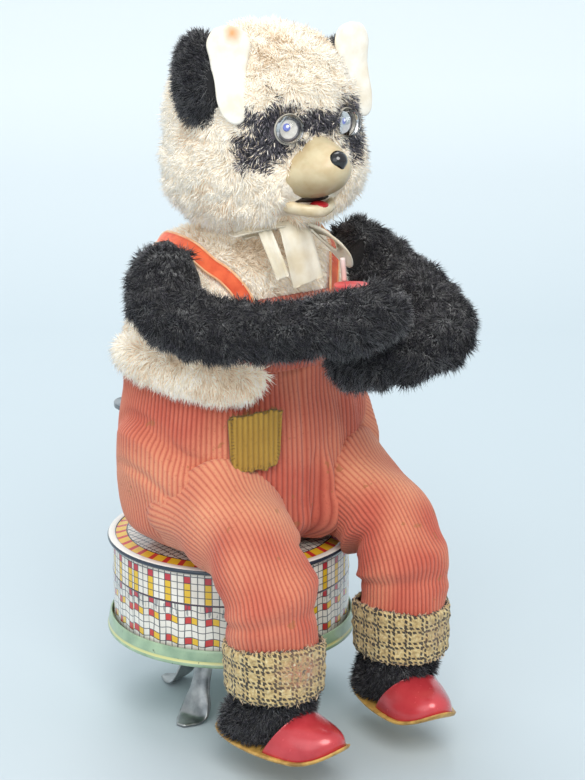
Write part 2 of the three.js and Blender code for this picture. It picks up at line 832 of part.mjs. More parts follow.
// The smooth tongue of an ear, or with a larger scale and thickness the slot it lies in.
function earLining(side, scale, thickness) {
  const tongue = [
    [-7, 13],
    [-4.4, 15.6],
    [3.4, 15.6],
    [7, 12.6],
    [5.8, 1],
    [4.6, -11.5],
    [2.4, -14.6],
    [-2.4, -14.6],
    [-4.6, -11.5],
    [-5.8, 1],
  ];
  const outline = tongue.map(([u, v]) => [u * scale, v * scale]);
  return facing(outline, -34.9 - thickness / 2, thickness)
    .rotateY(degrees(-side * 3))
    .translate(side * 25, 0, 225.5);
}

function ear(side, word) {
  add(`ear_lining_${word}`, cut(earLining(side, 1, 2.2), skullBall(0.3)), COLOUR.lining, PLUSH);
  const lobe =
    side < 0
      ? ball([-31, -26, 225], [8, 11, 17.5], 12)
      : ball([28.5, -25.5, 224], [8, 10.5, 16], 12);
  const front = block([-60, -60, 190], [60, -33, 260]);
  add(`ear_back_${word}`, cut(lobe, furBall(0.3), front), COLOUR.black, PLUSH);
}

// Two cheeks on the nod pin, a plate that plugs the skull's neck hole, and a tail for the nod cam.
function headBracket() {
  const { y, z } = NOD;
  const cheek = (x) =>
    sideways(
      [
        [y - 3, z - 3],
        [y + 3, z - 3],
        [y + 5, z + 7],
        [y - 5, z + 7],
      ],
      x,
      1,
      [[y, z, 1.5]],
    );
  const plate = turned(
    [
      [0, z + 6.6],
      [14, z + 6.6],
      [14, z + 8],
      [0, z + 8],
    ],
    20,
  ).translate(0, y, 0);
  const tail = rod(1.1, 46, "z", [0, y + 12, z - 38.5], 8);
  return join(cheek(-2.9), cheek(1.9), plate, tail);
}

// ---- what is held and worn ----------------------------------------------------------------------
function bow() {
  const loops = [
    [-17, 4],
    [-13, 7.5],
    [-3, 3.2],
    [3, 3.2],
    [13, 7.5],
    [17, 4],
    [15, -7],
    [9, -8.5],
    [2.6, -3],
    [-2.6, -3],
    [-9, -8.5],
    [-15, -7],
  ];
  return facing(loops, -1.3, 2.6)
    .rotateX(degrees(-12))
    .translate(0, -38.6, 168);
}

function redBlock() {
  const outline = [
    [-7.5, -1],
    [-6, -3.6],
    [5, -4],
    [7.2, -2.4],
    [7.5, 4],
    [-7.5, 4],
  ];
  const body = sideways(outline, -4.5, 9).translate(0, -61.5, 162);
  const stem = rod(1.4, 11, "z", [2, -62, 149], 8);
  return join(body, stem);
}

stool();
framePlates();
windingKey();
mainspringAndBarrel();
click();
trainWheels();
neckBracket();
arms();
tinBody();
plushChest();
dungarees();
legs();
head();
add("neck_bow", bow(), COLOUR.ribbon, PLUSH);
add("red_block", redBlock(), COLOUR.red, SHINY);
add("red_block_fin", block([0.2, -58, 166.4], [3.4, -56.8, 171]), COLOUR.bristle, PLUSH);

export default toy;
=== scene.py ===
"""The looks of a seated clockwork panda on a printed tin stool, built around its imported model.

Sizes are millimetres from the stool's axis at floor level, with the animal facing -Y and its right side
at -X. The model's own frame has its origin FORWARD of that axis, and piece() does the change.
"""

import math

import bpy
import numpy as np
from mathutils import Euler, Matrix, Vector


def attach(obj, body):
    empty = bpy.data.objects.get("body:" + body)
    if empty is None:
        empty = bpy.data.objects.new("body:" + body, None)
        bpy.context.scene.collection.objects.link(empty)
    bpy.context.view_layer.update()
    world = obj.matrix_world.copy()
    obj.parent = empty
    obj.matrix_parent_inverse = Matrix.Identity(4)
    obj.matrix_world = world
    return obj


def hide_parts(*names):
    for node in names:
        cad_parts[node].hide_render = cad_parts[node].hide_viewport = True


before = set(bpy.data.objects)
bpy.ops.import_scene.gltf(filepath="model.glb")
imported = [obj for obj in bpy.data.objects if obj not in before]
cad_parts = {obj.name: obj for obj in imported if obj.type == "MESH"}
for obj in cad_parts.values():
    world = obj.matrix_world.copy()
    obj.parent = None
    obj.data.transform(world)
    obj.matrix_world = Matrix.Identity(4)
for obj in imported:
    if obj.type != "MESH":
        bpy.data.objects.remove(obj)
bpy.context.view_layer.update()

MM = 0.001
FORWARD = 21.0
SEED = 7
RIGHT, LEFT = -1, 1
SIDES = ((RIGHT, "right"), (LEFT, "left"))

STOOL = {"radius": 41.0, "base": 29.0, "wall": 34.0, "rim": 61.5, "crown": 66.5}
LEG_FIRST_ANGLE = 198.0
TORSO = {"y": -8.0, "flatness": 0.72}
WAIST = 131.0
HEAD = np.array([0.0, -20.0, 209.0])
EYE = {"x": 11.6, "y": -49.0, "z": 209.0, "radius": 4.5}
NOSE = np.array([0.0, -58.2, 199.4])
FOOT = {"x": 25.7, "y": -62.3, "sole": 14.2, "width": 25.0, "length": 51.0, "toe_in": 11.0}
TOE_SPRING = {"from": -12.0, "rate": 0.028}
CAP_SLANT = math.radians(32)
WALE = 1.7  # pitch of the corduroy's ribs

ARM_PATH = {
    "right": [(-33.5, -20, 163), (-40.5, -21, 160.5), (-44, -28, 154), (-42, -40, 150),
              (-34, -53, 149.5), (-22, -66, 151.5), (-11, -76, 154), (-4, -82, 156)],
    "left": [(34, -20, 162), (41.5, -22, 158), (44, -37, 151), (39.5, -60, 147.5),
             (31, -75, 143.5), (19, -76, 140.5), (10, -70, 138), (4, -63, 136.5)],
}
TROUSER_SIDE = [(34, 68.2), (43.4, 75), (46.2, 90), (45.4, 108), (43, 122), (42, WAIST)]
CHEST_SIDE = [(41.0, 128), (42.6, 132), (43.2, 136), (41.6, 143), (39, 151), (36.2, 159),
              (30.6, 166.6), (24, 170), (15, 172), (6, 173)]


CAMERA = {"place": (-0.39969, -0.52913, 0.305), "lens": 95.77, "down": 15.752, "turn": -37.796}


# ---- camera and light -------------------------------------------------------------------------------
def camera():
    """Long lens from the animal's right front, above it."""
    data = bpy.data.cameras.new("camera")
    data.sensor_width = 36
    data.lens = CAMERA["lens"]
    data.clip_start, data.clip_end = 0.02, 20
    made = bpy.data.objects.new("camera", data)
    made.location = CAMERA["place"]
    made.rotation_euler = Euler((math.radians(90 - CAMERA["down"]), 0, math.radians(CAMERA["turn"])))
    bpy.context.scene.collection.objects.link(made)
    bpy.context.scene.camera = made


def area_light(name, place, target, size, power, colour):
    data = bpy.data.lights.new(name, "AREA")
    data.shape = "DISK"
    data.size = size
    data.energy = power
    data.color = colour
    made = bpy.data.objects.new(name, data)
    made.location = place
    made.rotation_euler = (Vector(target) - Vector(place)).to_track_quat("-Z", "Y").to_euler()
    bpy.context.scene.collection.objects.link(made)


def lights():
    middle = (0, 0, 0.12)
    area_light("key", (-0.6, -1.0, 1.2), middle, 0.9, 16, (1.0, 0.97, 0.93))
    area_light("fill", (-1.2, -0.5, 0.7), middle, 1.1, 4, (0.93, 0.96, 1.0))
    area_light("top", (0.2, 0.6, 1.4), middle, 1.0, 9, (1.0, 1.0, 1.0))
    world = bpy.data.worlds.new("studio")
    world.use_nodes = True
    sky = world.node_tree.nodes["Background"]
    sky.inputs["Color"].default_value = (0.86, 0.91, 0.95, 1)
    sky.inputs["Strength"].default_value = 0.82
    bpy.context.scene.world = world
    bpy.context.scene.view_settings.view_transform = "Standard"


# ---- materials --------------------------------------------------------------------------------------
def tone(code):
    """A linear colour from a six-digit display colour."""
    shares = [int(code[i:i + 2], 16) / 255 for i in (0, 2, 4)]
    linear = [s / 12.92 if s <= 0.04045 else ((s + 0.055) / 1.055) ** 2.4 for s in shares]
    return (*linear, 1.0)


class Paint:
    """One node material. Textures are sampled in millimetres."""

    def __init__(self, name, colour, rough=0.5, metal=0.0, **sockets):
        self.material = bpy.data.materials.new(name)
        self.material.use_nodes = True
        self.tree = self.material.node_tree
        self.shader = self.tree.nodes["Principled BSDF"]
        self.feed(self.shader, "Base Color", tone(colour))
        self.feed(self.shader, "Roughness", rough)
        self.feed(self.shader, "Metallic", metal)
        for socket, value in sockets.items():
            self.feed(self.shader, socket.replace("_", " "), value)
        self.place = None

    def feed(self, node, socket, value):
        if isinstance(value, bpy.types.NodeSocket):
            self.tree.links.new(value, node.inputs[socket])
        else:
            node.inputs[socket].default_value = value

    def node(self, kind, output, inputs, **settings):
        made = self.tree.nodes.new(kind)
        for key, value in settings.items():
            setattr(made, key, value)
        for socket, value in inputs.items():
            self.feed(made, socket, value)
        return made.outputs[output]

    def where(self):
        """The point in millimetres, from the stool's axis."""
        if self.place is None:
            source = self.node("ShaderNodeTexCoord", "Object", {})
            scaled = self.vector("MULTIPLY", source, (1 / MM,) * 3)
            self.place = self.vector("ADD", scaled, (0, -FORWARD, 0))
        return self.place

    def vector(self, operation, a, b):
        return self.node("ShaderNodeVectorMath", 0, {0: a, 1: b}, operation=operation)

    def axis(self, letter):
        return self.node("ShaderNodeSeparateXYZ", letter, {0: self.where()})

    def math(self, operation, a, b=0.0):
        return self.node("ShaderNodeMath", 0, {0: a, 1: b}, operation=operation)

    def add(self, a, b):
        return self.math("ADD", a, b)

    def minus(self, a, b):
        return self.math("SUBTRACT", a, b)

    def times(self, a, b):
        return self.math("MULTIPLY", a, b)

    def divide(self, a, b):
        return self.math("DIVIDE", a, b)

    def most(self, a, b):
        return self.math("MAXIMUM", a, b)

    def above(self, x, level):
        return self.math("GREATER_THAN", x, level)

    def below(self, x, level):
        return self.math("LESS_THAN", x, level)

    def clamped(self, x):
        return self.math("MINIMUM", self.most(x, 0.0), 1.0)

    def noise(self, size, detail=2.0, stretch=(1, 1, 1)):
        """Noise with features about size millimetres across."""
        point = self.vector("MULTIPLY", self.where(), stretch)
        return self.node("ShaderNodeTexNoise", "Fac", {"Vector": point, "Scale": 1 / size, "Detail": detail})

    def specks(self, size, detail, level):
        """1 in scattered specks, which get fewer as the level rises, else 0."""
        return self.above(self.noise(size, detail), level)

    def ramp(self, fac, *stops):
        made = self.tree.nodes.new("ShaderNodeValToRGB")
        band = made.color_ramp
        while len(band.elements) < len(stops):
            band.elements.new(0.5)
        for element, (position, code) in zip(band.elements, stops):
            element.position = position
            element.color = tone(code)
        self.feed(made, "Fac", fac)
        return made.outputs["Color"]

    def mix(self, fac, a, b):
        a, b = (tone(v) if isinstance(v, str) else v for v in (a, b))
        return self.node("ShaderNodeMix", 2, {0: fac, 6: a, 7: b}, data_type="RGBA")

    def over(self, under, mask, share, code):
        """A colour laid over another where the mask is 1, as strongly as the share says."""
        return self.mix(self.times(mask, share), under, code)

    def band(self, x, low, high):
        """1 where x lies between low and high, else 0."""
        return self.times(self.above(x, low), self.below(x, high))

    def attribute(self, name):
        return self.node("ShaderNodeAttribute", "Fac", {}, attribute_name=name)

    def colour(self, value):
        self.feed(self.shader, "Base Color", value)

    def rough(self, fac, low, high):
        self.feed(self.shader, "Roughness", self.add(self.times(fac, high - low), low))

    def bump(self, height, depth):
        """Raises the surface by depth millimetres where height is 1."""
        made = self.node("ShaderNodeBump", "Normal", {"Height": height, "Distance": depth * MM})
        self.feed(self.shader, "Normal", made)


def metal(name, light, dark, rough):
    """Bare metal with cloudy tarnish and a fine grain."""
    p = Paint(name, light, rough, 0.9)
    cloud = p.noise(7, 4)
    p.colour(p.ramp(cloud, (0.35, dark), (0.6, light)))
    p.rough(cloud, rough - 0.1, rough + 0.2)
    p.bump(p.noise(0.8, 3), 0.03)
    return p.material


def fur_shade(name, code, glow):
    """A fibre. Pale fibres pass light on to each other, which the small glow stands for."""
    return Paint(name, code, 0.9, 0.0, Sheen_Weight=0.45, Sheen_Roughness=0.4, Specular_IOR_Level=0.1,
                 Emission_Color=tone(code), Emission_Strength=glow).material


FUR_CODES = ["fffaee", "fbf1e0", "f4e6d1", "e8d5ba", "cfb594", "a4876a",
             "17171b", "222227", "36353e", "605c66", "9a929a"]
WHITE, CREAM, IVORY, BEIGE, TAN, BROWN, INK, BLACK, CHARCOAL, ASH, SMOKE = range(11)


def plush_base(name, light, dark):
    """The woven backing and matted roots seen between the tufts."""
    p = Paint(name, light, 0.95, 0.0, Sheen_Weight=0.3)
    p.colour(p.ramp(p.noise(2.4, 4), (0.3, dark), (0.5, light)))
    p.bump(p.noise(0.6, 3), 0.5)
    return p.material


def corduroy(name, valley, ridge, worn, soil, dirt=0.68):
    """Ribbed cotton: wale is 1 on a rib, wear is 1 where the pile has rubbed pale."""
    p = Paint(name, ridge[0], 0.9, 0.0, Sheen_Weight=0.2, Sheen_Roughness=0.5)
    wear = p.attribute("wear")
    rib = p.mix(wear, p.ramp(p.noise(9, 4), (0.3, ridge[0]), (0.7, ridge[1])), worn)
    groove = p.over(valley, wear, 0.85, ridge[1])
    made = p.mix(p.attribute("wale"), groove, rib)
    made = p.over(made, p.specks(0.9, 3, 0.62), 0.25, valley)
    p.colour(p.over(made, p.specks(5, 6, dirt), 0.5, soil))
    p.bump(p.noise(0.45, 3), 0.3)
    return p.material


def tin_print():
    """Lithographed gingham: thin dark lines, yellow columns and red squares on white."""
    p = Paint("tin_print", "e6e3da", 0.26, 0.0, Coat_Weight=0.35, Coat_Roughness=0.15)
    x, y, z = (p.axis(a) for a in "XYZ")
    cell = 2.42
    ink, red, yellow = "24313f", "c2342f", "e2b62c"
    gather_top = 50.6
    around = p.times(p.math("ARCTAN2", y, x), STOOL["radius"])
    lean = p.times(p.minus(p.noise(2.2, 1, (1, 1, 0.15)), 0.5), 1.5)
    gathered = p.below(z, gather_top)
    across = p.add(around, p.times(lean, gathered))
    across = p.add(across, 500 * cell)
    sway = p.times(p.math("SINE", p.times(around, 0.8)), 0.35)
    up = p.add(z, p.times(sway, gathered))
    up = p.minus(up, STOOL["wall"] - 0.4)
    column = p.math("MODULO", p.math("FLOOR", p.divide(across, cell)), 3)
    row = p.math("FLOOR", p.divide(up, cell))
    yellow_column = p.below(column, 0.5)
    second_column = p.band(column, 0.5, 1.5)
    red_row = p.most(p.band(row, 5.5, 6.5), p.band(row, 9.5, 10.5))
    accent_row = p.most(p.band(row, 0.5, 1.5), p.band(row, 3.5, 4.5))
    apron = p.band(row, 6.5, 9.5)
    ground = p.ramp(p.noise(12, 3), (0.35, "d6d0c4"), (0.6, "e6e2d8"))
    made = p.over(ground, yellow_column, apron, "dcb32a")
    made = p.over(made, yellow_column, red_row, "b8303a")
    made = p.over(made, yellow_column, accent_row, red)
    made = p.over(made, second_column, accent_row, yellow)

    def lines(value, width):
        share = p.math("FRACT", p.divide(value, cell))
        return p.below(share, width)

    grid = p.most(lines(across, 0.15), lines(up, 0.13))
    made = p.over(made, grid, 0.88, ink)
    tucks = p.above(p.noise(0.9, 2, (1, 1, 0.1)), 0.56)
    shirr = p.times(p.band(z, 46.5, 50.4), tucks)
    made = p.over(made, shirr, 0.6, "35424e")
    made = p.mix(p.band(z, gather_top - 0.4, gather_top + 0.3), made, "3c2f3c")
    # the seat: a ring of red and yellow squares inside the piping, and a square grid inside that
    radius = p.math("SQRT", p.add(p.times(x, x), p.times(y, y)))
    ring = p.band(radius, 36.2, 39.8)
    turn = p.math("MODULO", p.math("FLOOR", p.divide(across, 2.1)), 3)
    squares = p.mix(p.below(turn, 1.5), red, yellow)
    net = p.most(lines(p.add(x, 100.1), 0.14), lines(p.add(y, 100.1), 0.14))
    inside = p.mix(net, ground, ink)
    top = p.mix(ring, inside, squares)
    edge = p.most(p.band(radius, 39.8, 40.1), p.band(radius, 35.8, 36.2))
    top = p.mix(edge, top, ink)
    top = p.mix(p.above(radius, 40.1), top, "e9e6de")
    top = p.mix(p.above(radius, 42.4), top, ink)
    p.colour(p.mix(p.above(z, STOOL["rim"] + 0.1), made, top))
    p.rough(p.specks(2.5, 6, 0.7), 0.24, 0.6)
    p.bump(p.noise(14, 2), 0.25)
    return p.material


def green_enamel():
    p = Paint("green_enamel", "8aa388", 0.35, 0.0, Coat_Weight=0.3)
    z = p.axis("Z")
    cloud = p.ramp(p.noise(6, 4), (0.3, "7f9a80"), (0.65, "9fb898"))
    made = p.mix(p.band(z, 30.6, 31.5), cloud, "c8c88a")
    chip = p.specks(1.6, 6, 0.68)
    p.colour(p.over(made, chip, 0.8, "5d6b58"))
    p.rough(chip, 0.28, 0.6)
    p.bump(p.noise(5, 3), 0.2)
    return p.material


def tweed():
    """Straw-coloured wool with a broken black double check."""
    p = Paint("tweed", "d8c688", 0.95, 0.0, Sheen_Weight=0.2)
    u, v = p.attribute("around"), p.attribute("up")
    wobble = p.times(p.minus(p.noise(3.5, 2), 0.5), 0.9)
    u = p.add(u, wobble)
    v = p.add(v, wobble)
    pitch = 5.4

    def pair(value):
        share = p.math("FRACT", p.divide(value, pitch))
        return p.most(p.band(share, 0.05, 0.2), p.band(share, 0.33, 0.48))

    def dashes(a, b):
        slope = p.math("FRACT", p.divide(p.add(a, p.times(b, 0.55)), 1.7))
        return p.below(slope, 0.62)

    level = p.times(pair(v), dashes(u, v))
    upright = p.times(pair(u), dashes(v, u))
    check = p.most(level, upright)
    wool = p.ramp(p.noise(1.1, 3), (0.3, "a0885a"), (0.5, "c8ae78"), (0.72, "dfcf9f"))
    made = p.over(wool, check, 0.93, "191b22")
    mess = p.ramp(p.noise(1.3, 4), (0.3, "3c3c4a"), (0.45, "bf9c70"), (0.55, "b06a55"), (0.7, "d8d2b4"))
    p.colour(p.mix(p.attribute("wear"), made, mess))
    p.bump(p.add(p.noise(0.35, 2), p.noise(0.9, 2)), 0.5)
    return p.material


def cloth(name, light, dark, rough, size):
    """A plain woven stuff with soft colour changes and a fine surface."""
    p = Paint(name, light, rough, 0.0, Sheen_Weight=0.3)
    p.colour(p.ramp(p.noise(size, 4), (0.32, dark), (0.62, light)))
    p.bump(p.noise(0.3, 2), 0.12)
    return p.material


def satin():
    p = Paint("satin", "fcf8ec", 0.5, 0.0, Sheen_Weight=0.5, Anisotropic=0.5)
    p.colour(p.ramp(p.noise(8, 3), (0.35, "e3d5b6"), (0.6, "f6efdc")))
    thread = p.node("ShaderNodeTexWave", "Fac", {"Vector": p.where(), "Scale": 1.1, "Distortion": 1.2})
    p.bump(thread, 0.06)
    return p.material


def vinyl():
    """The glossy cream face moulding, with painted shade browning it towards its bottom and scattered brown
    flecks.
    """
    p = Paint("face_vinyl", "dccba6", 0.35, 0.0, Coat_Weight=0.2, Coat_Roughness=0.25, Subsurface_Weight=0.05)
    z = p.axis("Z")
    low = p.minus(1.0, p.divide(p.minus(z, 185.5), 15.0))
    top = p.ramp(p.noise(6, 3), (0.35, "c6b088"), (0.6, "d6c5a0"))
    # painted shade: the moulding turns browner the lower it lies, from 200.5 mm down and fully below 185.5 mm
    brown_tinted = p.over(top, p.math("POWER", p.clamped(low), 1.5), 0.75, "86704e")
    p.colour(p.over(brown_tinted, p.specks(1.2, 5, 0.7), 0.25, "b08a62"))
    p.rough(p.noise(3, 3), 0.28, 0.48)
    p.bump(p.noise(9, 2), 0.2)
    return p.material


def lining_felt():
    """Pale felt with one orange stain on the right ear."""
    p = Paint("ear_felt", "f2eadb", 0.75, 0.0, Sheen_Weight=0.2)
    made = p.ramp(p.noise(7, 4), (0.35, "eadfca"), (0.6, "f8f2e6"))
    spot = p.vector("ADD", p.where(), (23.4, 34.6, -238.0))
    away = p.node("ShaderNodeVectorMath", "Value", {0: spot}, operation="LENGTH")
    stain = p.minus(1.0, p.divide(p.add(away, p.noise(1.5, 3)), 4.6))
    p.colour(p.mix(p.clamped(stain), made, "dd8a1e"))
    p.bump(p.noise(0.8, 3), 0.15)
    return p.material


def shoe_red():
    p = Paint("shoe_red", "b5323a", 0.3, 0.1, Coat_Weight=0.4, Coat_Roughness=0.2)
    p.colour(p.ramp(p.noise(10, 3), (0.3, "a92a32"), (0.65, "c53f45")))
    p.rough(p.specks(1.4, 6, 0.68), 0.26, 0.5)
    p.bump(p.noise(11, 2), 0.3)
    return p.material


def sole_ochre():
    p = Paint("sole_ochre", "c08a3c", 0.45)
    p.colour(p.ramp(p.noise(4, 5), (0.35, "8f6a34"), (0.6, "cda254")))
    p.bump(p.noise(1.0, 3), 0.12)
    return p.material


def plain(name, light, dark, rough, size=5.0, **sockets):
    p = Paint(name, light, rough, 0.0, **sockets)
    p.colour(p.ramp(p.noise(size, 3), (0.35, dark), (0.65, light)))
    p.bump(p.noise(size / 2, 2), 0.06)
    return p.material


def glass():
    """The clear eye domes: light passes straight through, and the surface mirrors at a slant."""
    p = Paint("clear_dome", "e9edf0", 0.03, 0.0)
    clear = p.node("ShaderNodeBsdfTransparent", 0, {})
    gloss = p.node("ShaderNodeBsdfGlossy", 0, {"Roughness": 0.04})
    rim = p.node("ShaderNodeFresnel", 0, {"IOR": 1.5})
    mixed = p.node("ShaderNodeMixShader", 0, {0: rim, 1: clear, 2: gloss})
    end = next(n for n in p.tree.nodes if n.bl_idname == "ShaderNodeOutputMaterial")
    p.feed(end, "Surface", mixed)
    p.tree.nodes.remove(p.shader)
    return p.material


PALE_GLOW = 0.16
SHADES = [f"fur_{i}" for i in range(len(FUR_CODES))]
MATERIALS = {name: fur_shade(name, code, PALE_GLOW if i <= BROWN else 0.0)
             for i, (name, code) in enumerate(zip(SHADES, FUR_CODES))}
MATERIALS |= {
    "print": tin_print(),
    "green": green_enamel(),
    "leg": metal("leg_tin", "b3b5b4", "74787a", 0.32),
    "steel": metal("steel", "a4a7aa", "6d7074", 0.35),
    "brass": metal("brass", "c9a653", "8f7434", 0.3),
    "tin": metal("body_tin", "b9bcc0", "83868a", 0.38),
    "cream_base": plush_base("cream_backing", "f3e8d6", "dccbb0"),
    "black_base": plush_base("black_backing", "141316", "08080a"),
    "dark_base": plush_base("patch_backing", "5f5860", "322e34"),
    "coral": corduroy("coral_corduroy", "9c3f30", ("c25c48", "cf7058"), "df9a74", "9a6434"),
    "mustard": corduroy("mustard_corduroy", "7a5a18", ("987020", "ac852e"), "bb9646", "7c5c28", 0.75),
    "tweed": tweed(),
    "strap": cloth("strap_cloth", "ee6a3c", "d84e28", 0.75, 4),
    "strap_edge": cloth("strap_edge", "f3c79a", "ea9c6a", 0.8, 3),
    "satin": satin(),
    "felt": lining_felt(),
    "vinyl": vinyl(),
    "lip": plain("lip_vinyl", "e8dabc", "cdb890", 0.35, 5, Coat_Weight=0.2),
    "mouth": plain("mouth_dark", "3a2a1e", "1d1410", 0.7),
    "tongue": plain("tongue_red", "c4202a", "9c161e", 0.35),
    "nose": plain("nose_black", "0d0e12", "050508", 0.12, 4, Coat_Weight=0.6, Coat_Roughness=0.05),
    "glass": glass(),
    "socket": plain("eye_socket", "e6e0d8", "c4beb4", 0.5, 3),
    "eye_shade": plain("eye_shade", "6f6c70", "4b4a50", 0.4),
    "spark": plain("eye_painted_glint", "f4f4fa", "e0e4f4", 0.3),
    "eye_ring": plain("eye_ring", "c9c3b4", "9b958a", 0.3),
    "pupil": plain("pupil_blue", "6a78c8", "4a56a8", 0.3),
    "shoe": shoe_red(),
    "sole": sole_ochre(),
    "red": plain("block_red", "d8343c", "c02a32", 0.4, 5, Coat_Weight=0.15),
    "red_top": plain("block_rim_painted_highlight", "e66a66", "d84a4c", 0.45),
    "pale": plain("pale_edge", "f3dcd4", "e6c2b8", 0.4),
}


# ---- making meshes ----------------------------------------------------------------------------------
def smoothstep(low, high, x):
    t = np.clip((np.asarray(x, float) - low) / (high - low), 0, 1)
    return t * t * (3 - 2 * t)


def hump(x, middle, reach):
    """A smooth hump, 1 at its middle."""
    return np.exp(-((x - middle) / reach) ** 2)


def unit(v):
    return v / np.maximum(np.linalg.norm(v, axis=-1, keepdims=True), 1e-9)


def triangles(faces):
    if faces.shape[1] == 3:
        return faces
    return np.concatenate([faces[:, [0, 1, 2]], faces[:, [0, 2, 3]]])


def facing_out(verts, groups):
    """The faces, turned round if the closed body is inside out."""
    volume = 0.0
    for faces in groups:
        a, b, c = (verts[triangles(faces)[:, i]] for i in range(3))
        volume += np.einsum("ij,ij->i", a, np.cross(b, c)).sum()
    return [f[:, ::-1] for f in groups] if volume < 0 else groups


def circle(sides):
    """The angles of evenly spaced points round a circle."""
    return np.arange(sides) * 2 * np.pi / sides


def heading(line):
    """The unit direction along a line at each of its points."""
    return unit(np.gradient(line, axis=0))


def spun(points, angle, a=0, b=1):
    """The points turned in the plane of axes a and b."""
    points = np.asarray(points, float)
    made = points.copy()
    c, s = math.cos(angle), math.sin(angle)
    made[..., a] = c * points[..., a] - s * points[..., b]
    made[..., b] = s * points[..., a] + c * points[..., b]
    return made


def piece(name, shape, body, materials, replaces=(), attributes=None, index=None):
    """One smooth mesh from (vertices in millimetres, [face arrays]) and one or more material names."""
    verts, groups = shape
    groups = [g for g in groups if len(g)]
    co = np.asarray(verts, float) * MM
    co[:, 1] += FORWARD * MM
    loops = np.concatenate([g.ravel() for g in groups])
    sizes = np.concatenate([np.full(len(g), g.shape[1]) for g in groups])
    mesh = bpy.data.meshes.new(name)
    mesh.vertices.add(len(co))
    mesh.vertices.foreach_set("co", co.astype(np.float32).ravel())
    mesh.loops.add(len(loops))
    mesh.loops.foreach_set("vertex_index", loops.astype(np.int32))
    mesh.polygons.add(len(sizes))
    mesh.polygons.foreach_set("loop_start", np.concatenate([[0], np.cumsum(sizes)[:-1]]).astype(np.int32))
    if index is not None:
        mesh.polygons.foreach_set("material_index", np.asarray(index, np.int32))
    mesh.polygons.foreach_set("use_smooth", np.ones(len(sizes), bool))
    mesh.update(calc_edges=True)
    for key, values in (attributes or {}).items():
        layer = mesh.attributes.new(key, "FLOAT", "POINT")
        layer.data.foreach_set("value", np.asarray(values, np.float32).ravel())
    for key in [materials] if isinstance(materials, str) else materials:
        mesh.materials.append(MATERIALS[key])
    obj = bpy.data.objects.new(name, mesh)
    bpy.context.scene.collection.objects.link(obj)
    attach(obj, body)
    if replaces:
        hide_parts(*replaces)
    return obj


def loft(rings, ring_closed=False):
    """A closed body from rings (n, k, 3): with end caps, or with the last ring joined to the first."""
    n, k = rings.shape[:2]
    verts = rings.reshape(-1, 3)
    rows = np.arange(n if ring_closed else n - 1)
    i, j = np.meshgrid(rows, np.arange(k), indexing="ij")
    nxt, side = (i + 1) % n, (j + 1) % k
    quads = np.stack([i * k + j, i * k + side, nxt * k + side, nxt * k + j], -1).reshape(-1, 4)
    groups = [quads]
    if not ring_closed:
        ends = np.stack([rings[0].mean(0), rings[-1].mean(0)])
        j = np.arange(k)
        first = np.stack([np.full(k, n * k), (j + 1) % k, j], -1)
        last = np.stack([np.full(k, n * k + 1), (n - 1) * k + j, (n - 1) * k + (j + 1) % k], -1)
        verts = np.concatenate([verts, ends])
        groups.append(np.concatenate([first, last]))
    return verts, facing_out(verts, groups)


def merged(*shapes):
    verts, groups, start = [], [], 0
    for v, faces in shapes:
        verts.append(v)
        groups += [f + start for f in faces]
        start += len(v)
    return np.concatenate(verts), groups


def curve(points, samples):
    """Points evenly along a smooth curve through the given ones."""
    p = np.asarray(points, float)
    p = np.concatenate([[2 * p[0] - p[1]], p, [2 * p[-1] - p[-2]]])
    fine = []
    t = np.linspace(0, 1, 24, endpoint=False)[:, None]
    for a, b, c, d in zip(p, p[1:], p[2:], p[3:]):
        fine.append(0.5 * (2 * b + (c - a) * t + (2 * a - 5 * b + 4 * c - d) * t ** 2
                           + (3 * b - a - 3 * c + d) * t ** 3))
    fine = np.concatenate([*fine, p[-2:-1]])
    run = np.concatenate([[0], np.cumsum(np.linalg.norm(np.diff(fine, axis=0), axis=1))])
    at = np.linspace(0, run[-1], samples)
    return np.stack([np.interp(at, run, fine[:, k]) for k in range(fine.shape[1])], -1)


def frames(line):
    """Across and over directions at each point of a line, without twist."""
    along = heading(line)
    up = (0, 0, 1)
    across = np.empty_like(along)
    last = unit(np.cross(along[0], up)) if abs(np.dot(along[0], up)) < 0.95 else np.array([1.0, 0, 0])
    for i, d in enumerate(along):
        last = unit(last - np.dot(last, d) * d)
        across[i] = last
    return across, np.cross(across, along)


def tube(line, radii, sides, ridge=None):
    """A round body along a line; ridge(angle, share) adds to the radius."""
    across, over = frames(line)
    turn = circle(sides)
    radii = np.broadcast_to(radii, len(line))
    share = np.linspace(0, 1, len(line))
    r = radii[:, None] + (ridge(turn[None, :], share[:, None]) if ridge else 0)
    rings = line[:, None] + across[:, None] * (r * np.cos(turn))[..., None]
    return rings + over[:, None] * (r * np.sin(turn))[..., None]


def oval_rings(side, sides, samples):
    """Rings of the body's oval section from its [radius, height] side."""
    line = curve(side, samples)
    turn = circle(sides)
    r, z = line[:, :1], line[:, 1:]
    x = r * np.cos(turn)
    y = TORSO["y"] + r * TORSO["flatness"] * np.sin(turn)
    return np.stack([x, y, np.broadcast_to(z, x.shape)], -1)


def level_axis(points):
    """The point of the torso's axis at each point's own height."""
    middle = np.zeros_like(points)
    middle[..., 1] = TORSO["y"]
    middle[..., 2] = points[..., 2]
    return middle


def chest_front(x, z, stand):
    """The y of the chest's front at (x, z), stand millimetres outside CHEST_SIDE."""
    radius = np.interp(z, [h for _, h in CHEST_SIDE], [r for r, _ in CHEST_SIDE]) + stand
    return TORSO["y"] - TORSO["flatness"] * np.sqrt(np.maximum(radius ** 2 - x ** 2, 1))


def ball(centre, radii, rows, sides):
    tilt = np.linspace(0.02, np.pi - 0.02, rows)
    turn = circle(sides)
    x = np.sin(tilt)[:, None] * np.cos(turn)
    y = np.sin(tilt)[:, None] * np.sin(turn)
    z = np.broadcast_to(np.cos(tilt)[:, None], x.shape)
    return loft(np.stack([x, y, z], -1) * np.asarray(radii, float) + np.asarray(centre, float))


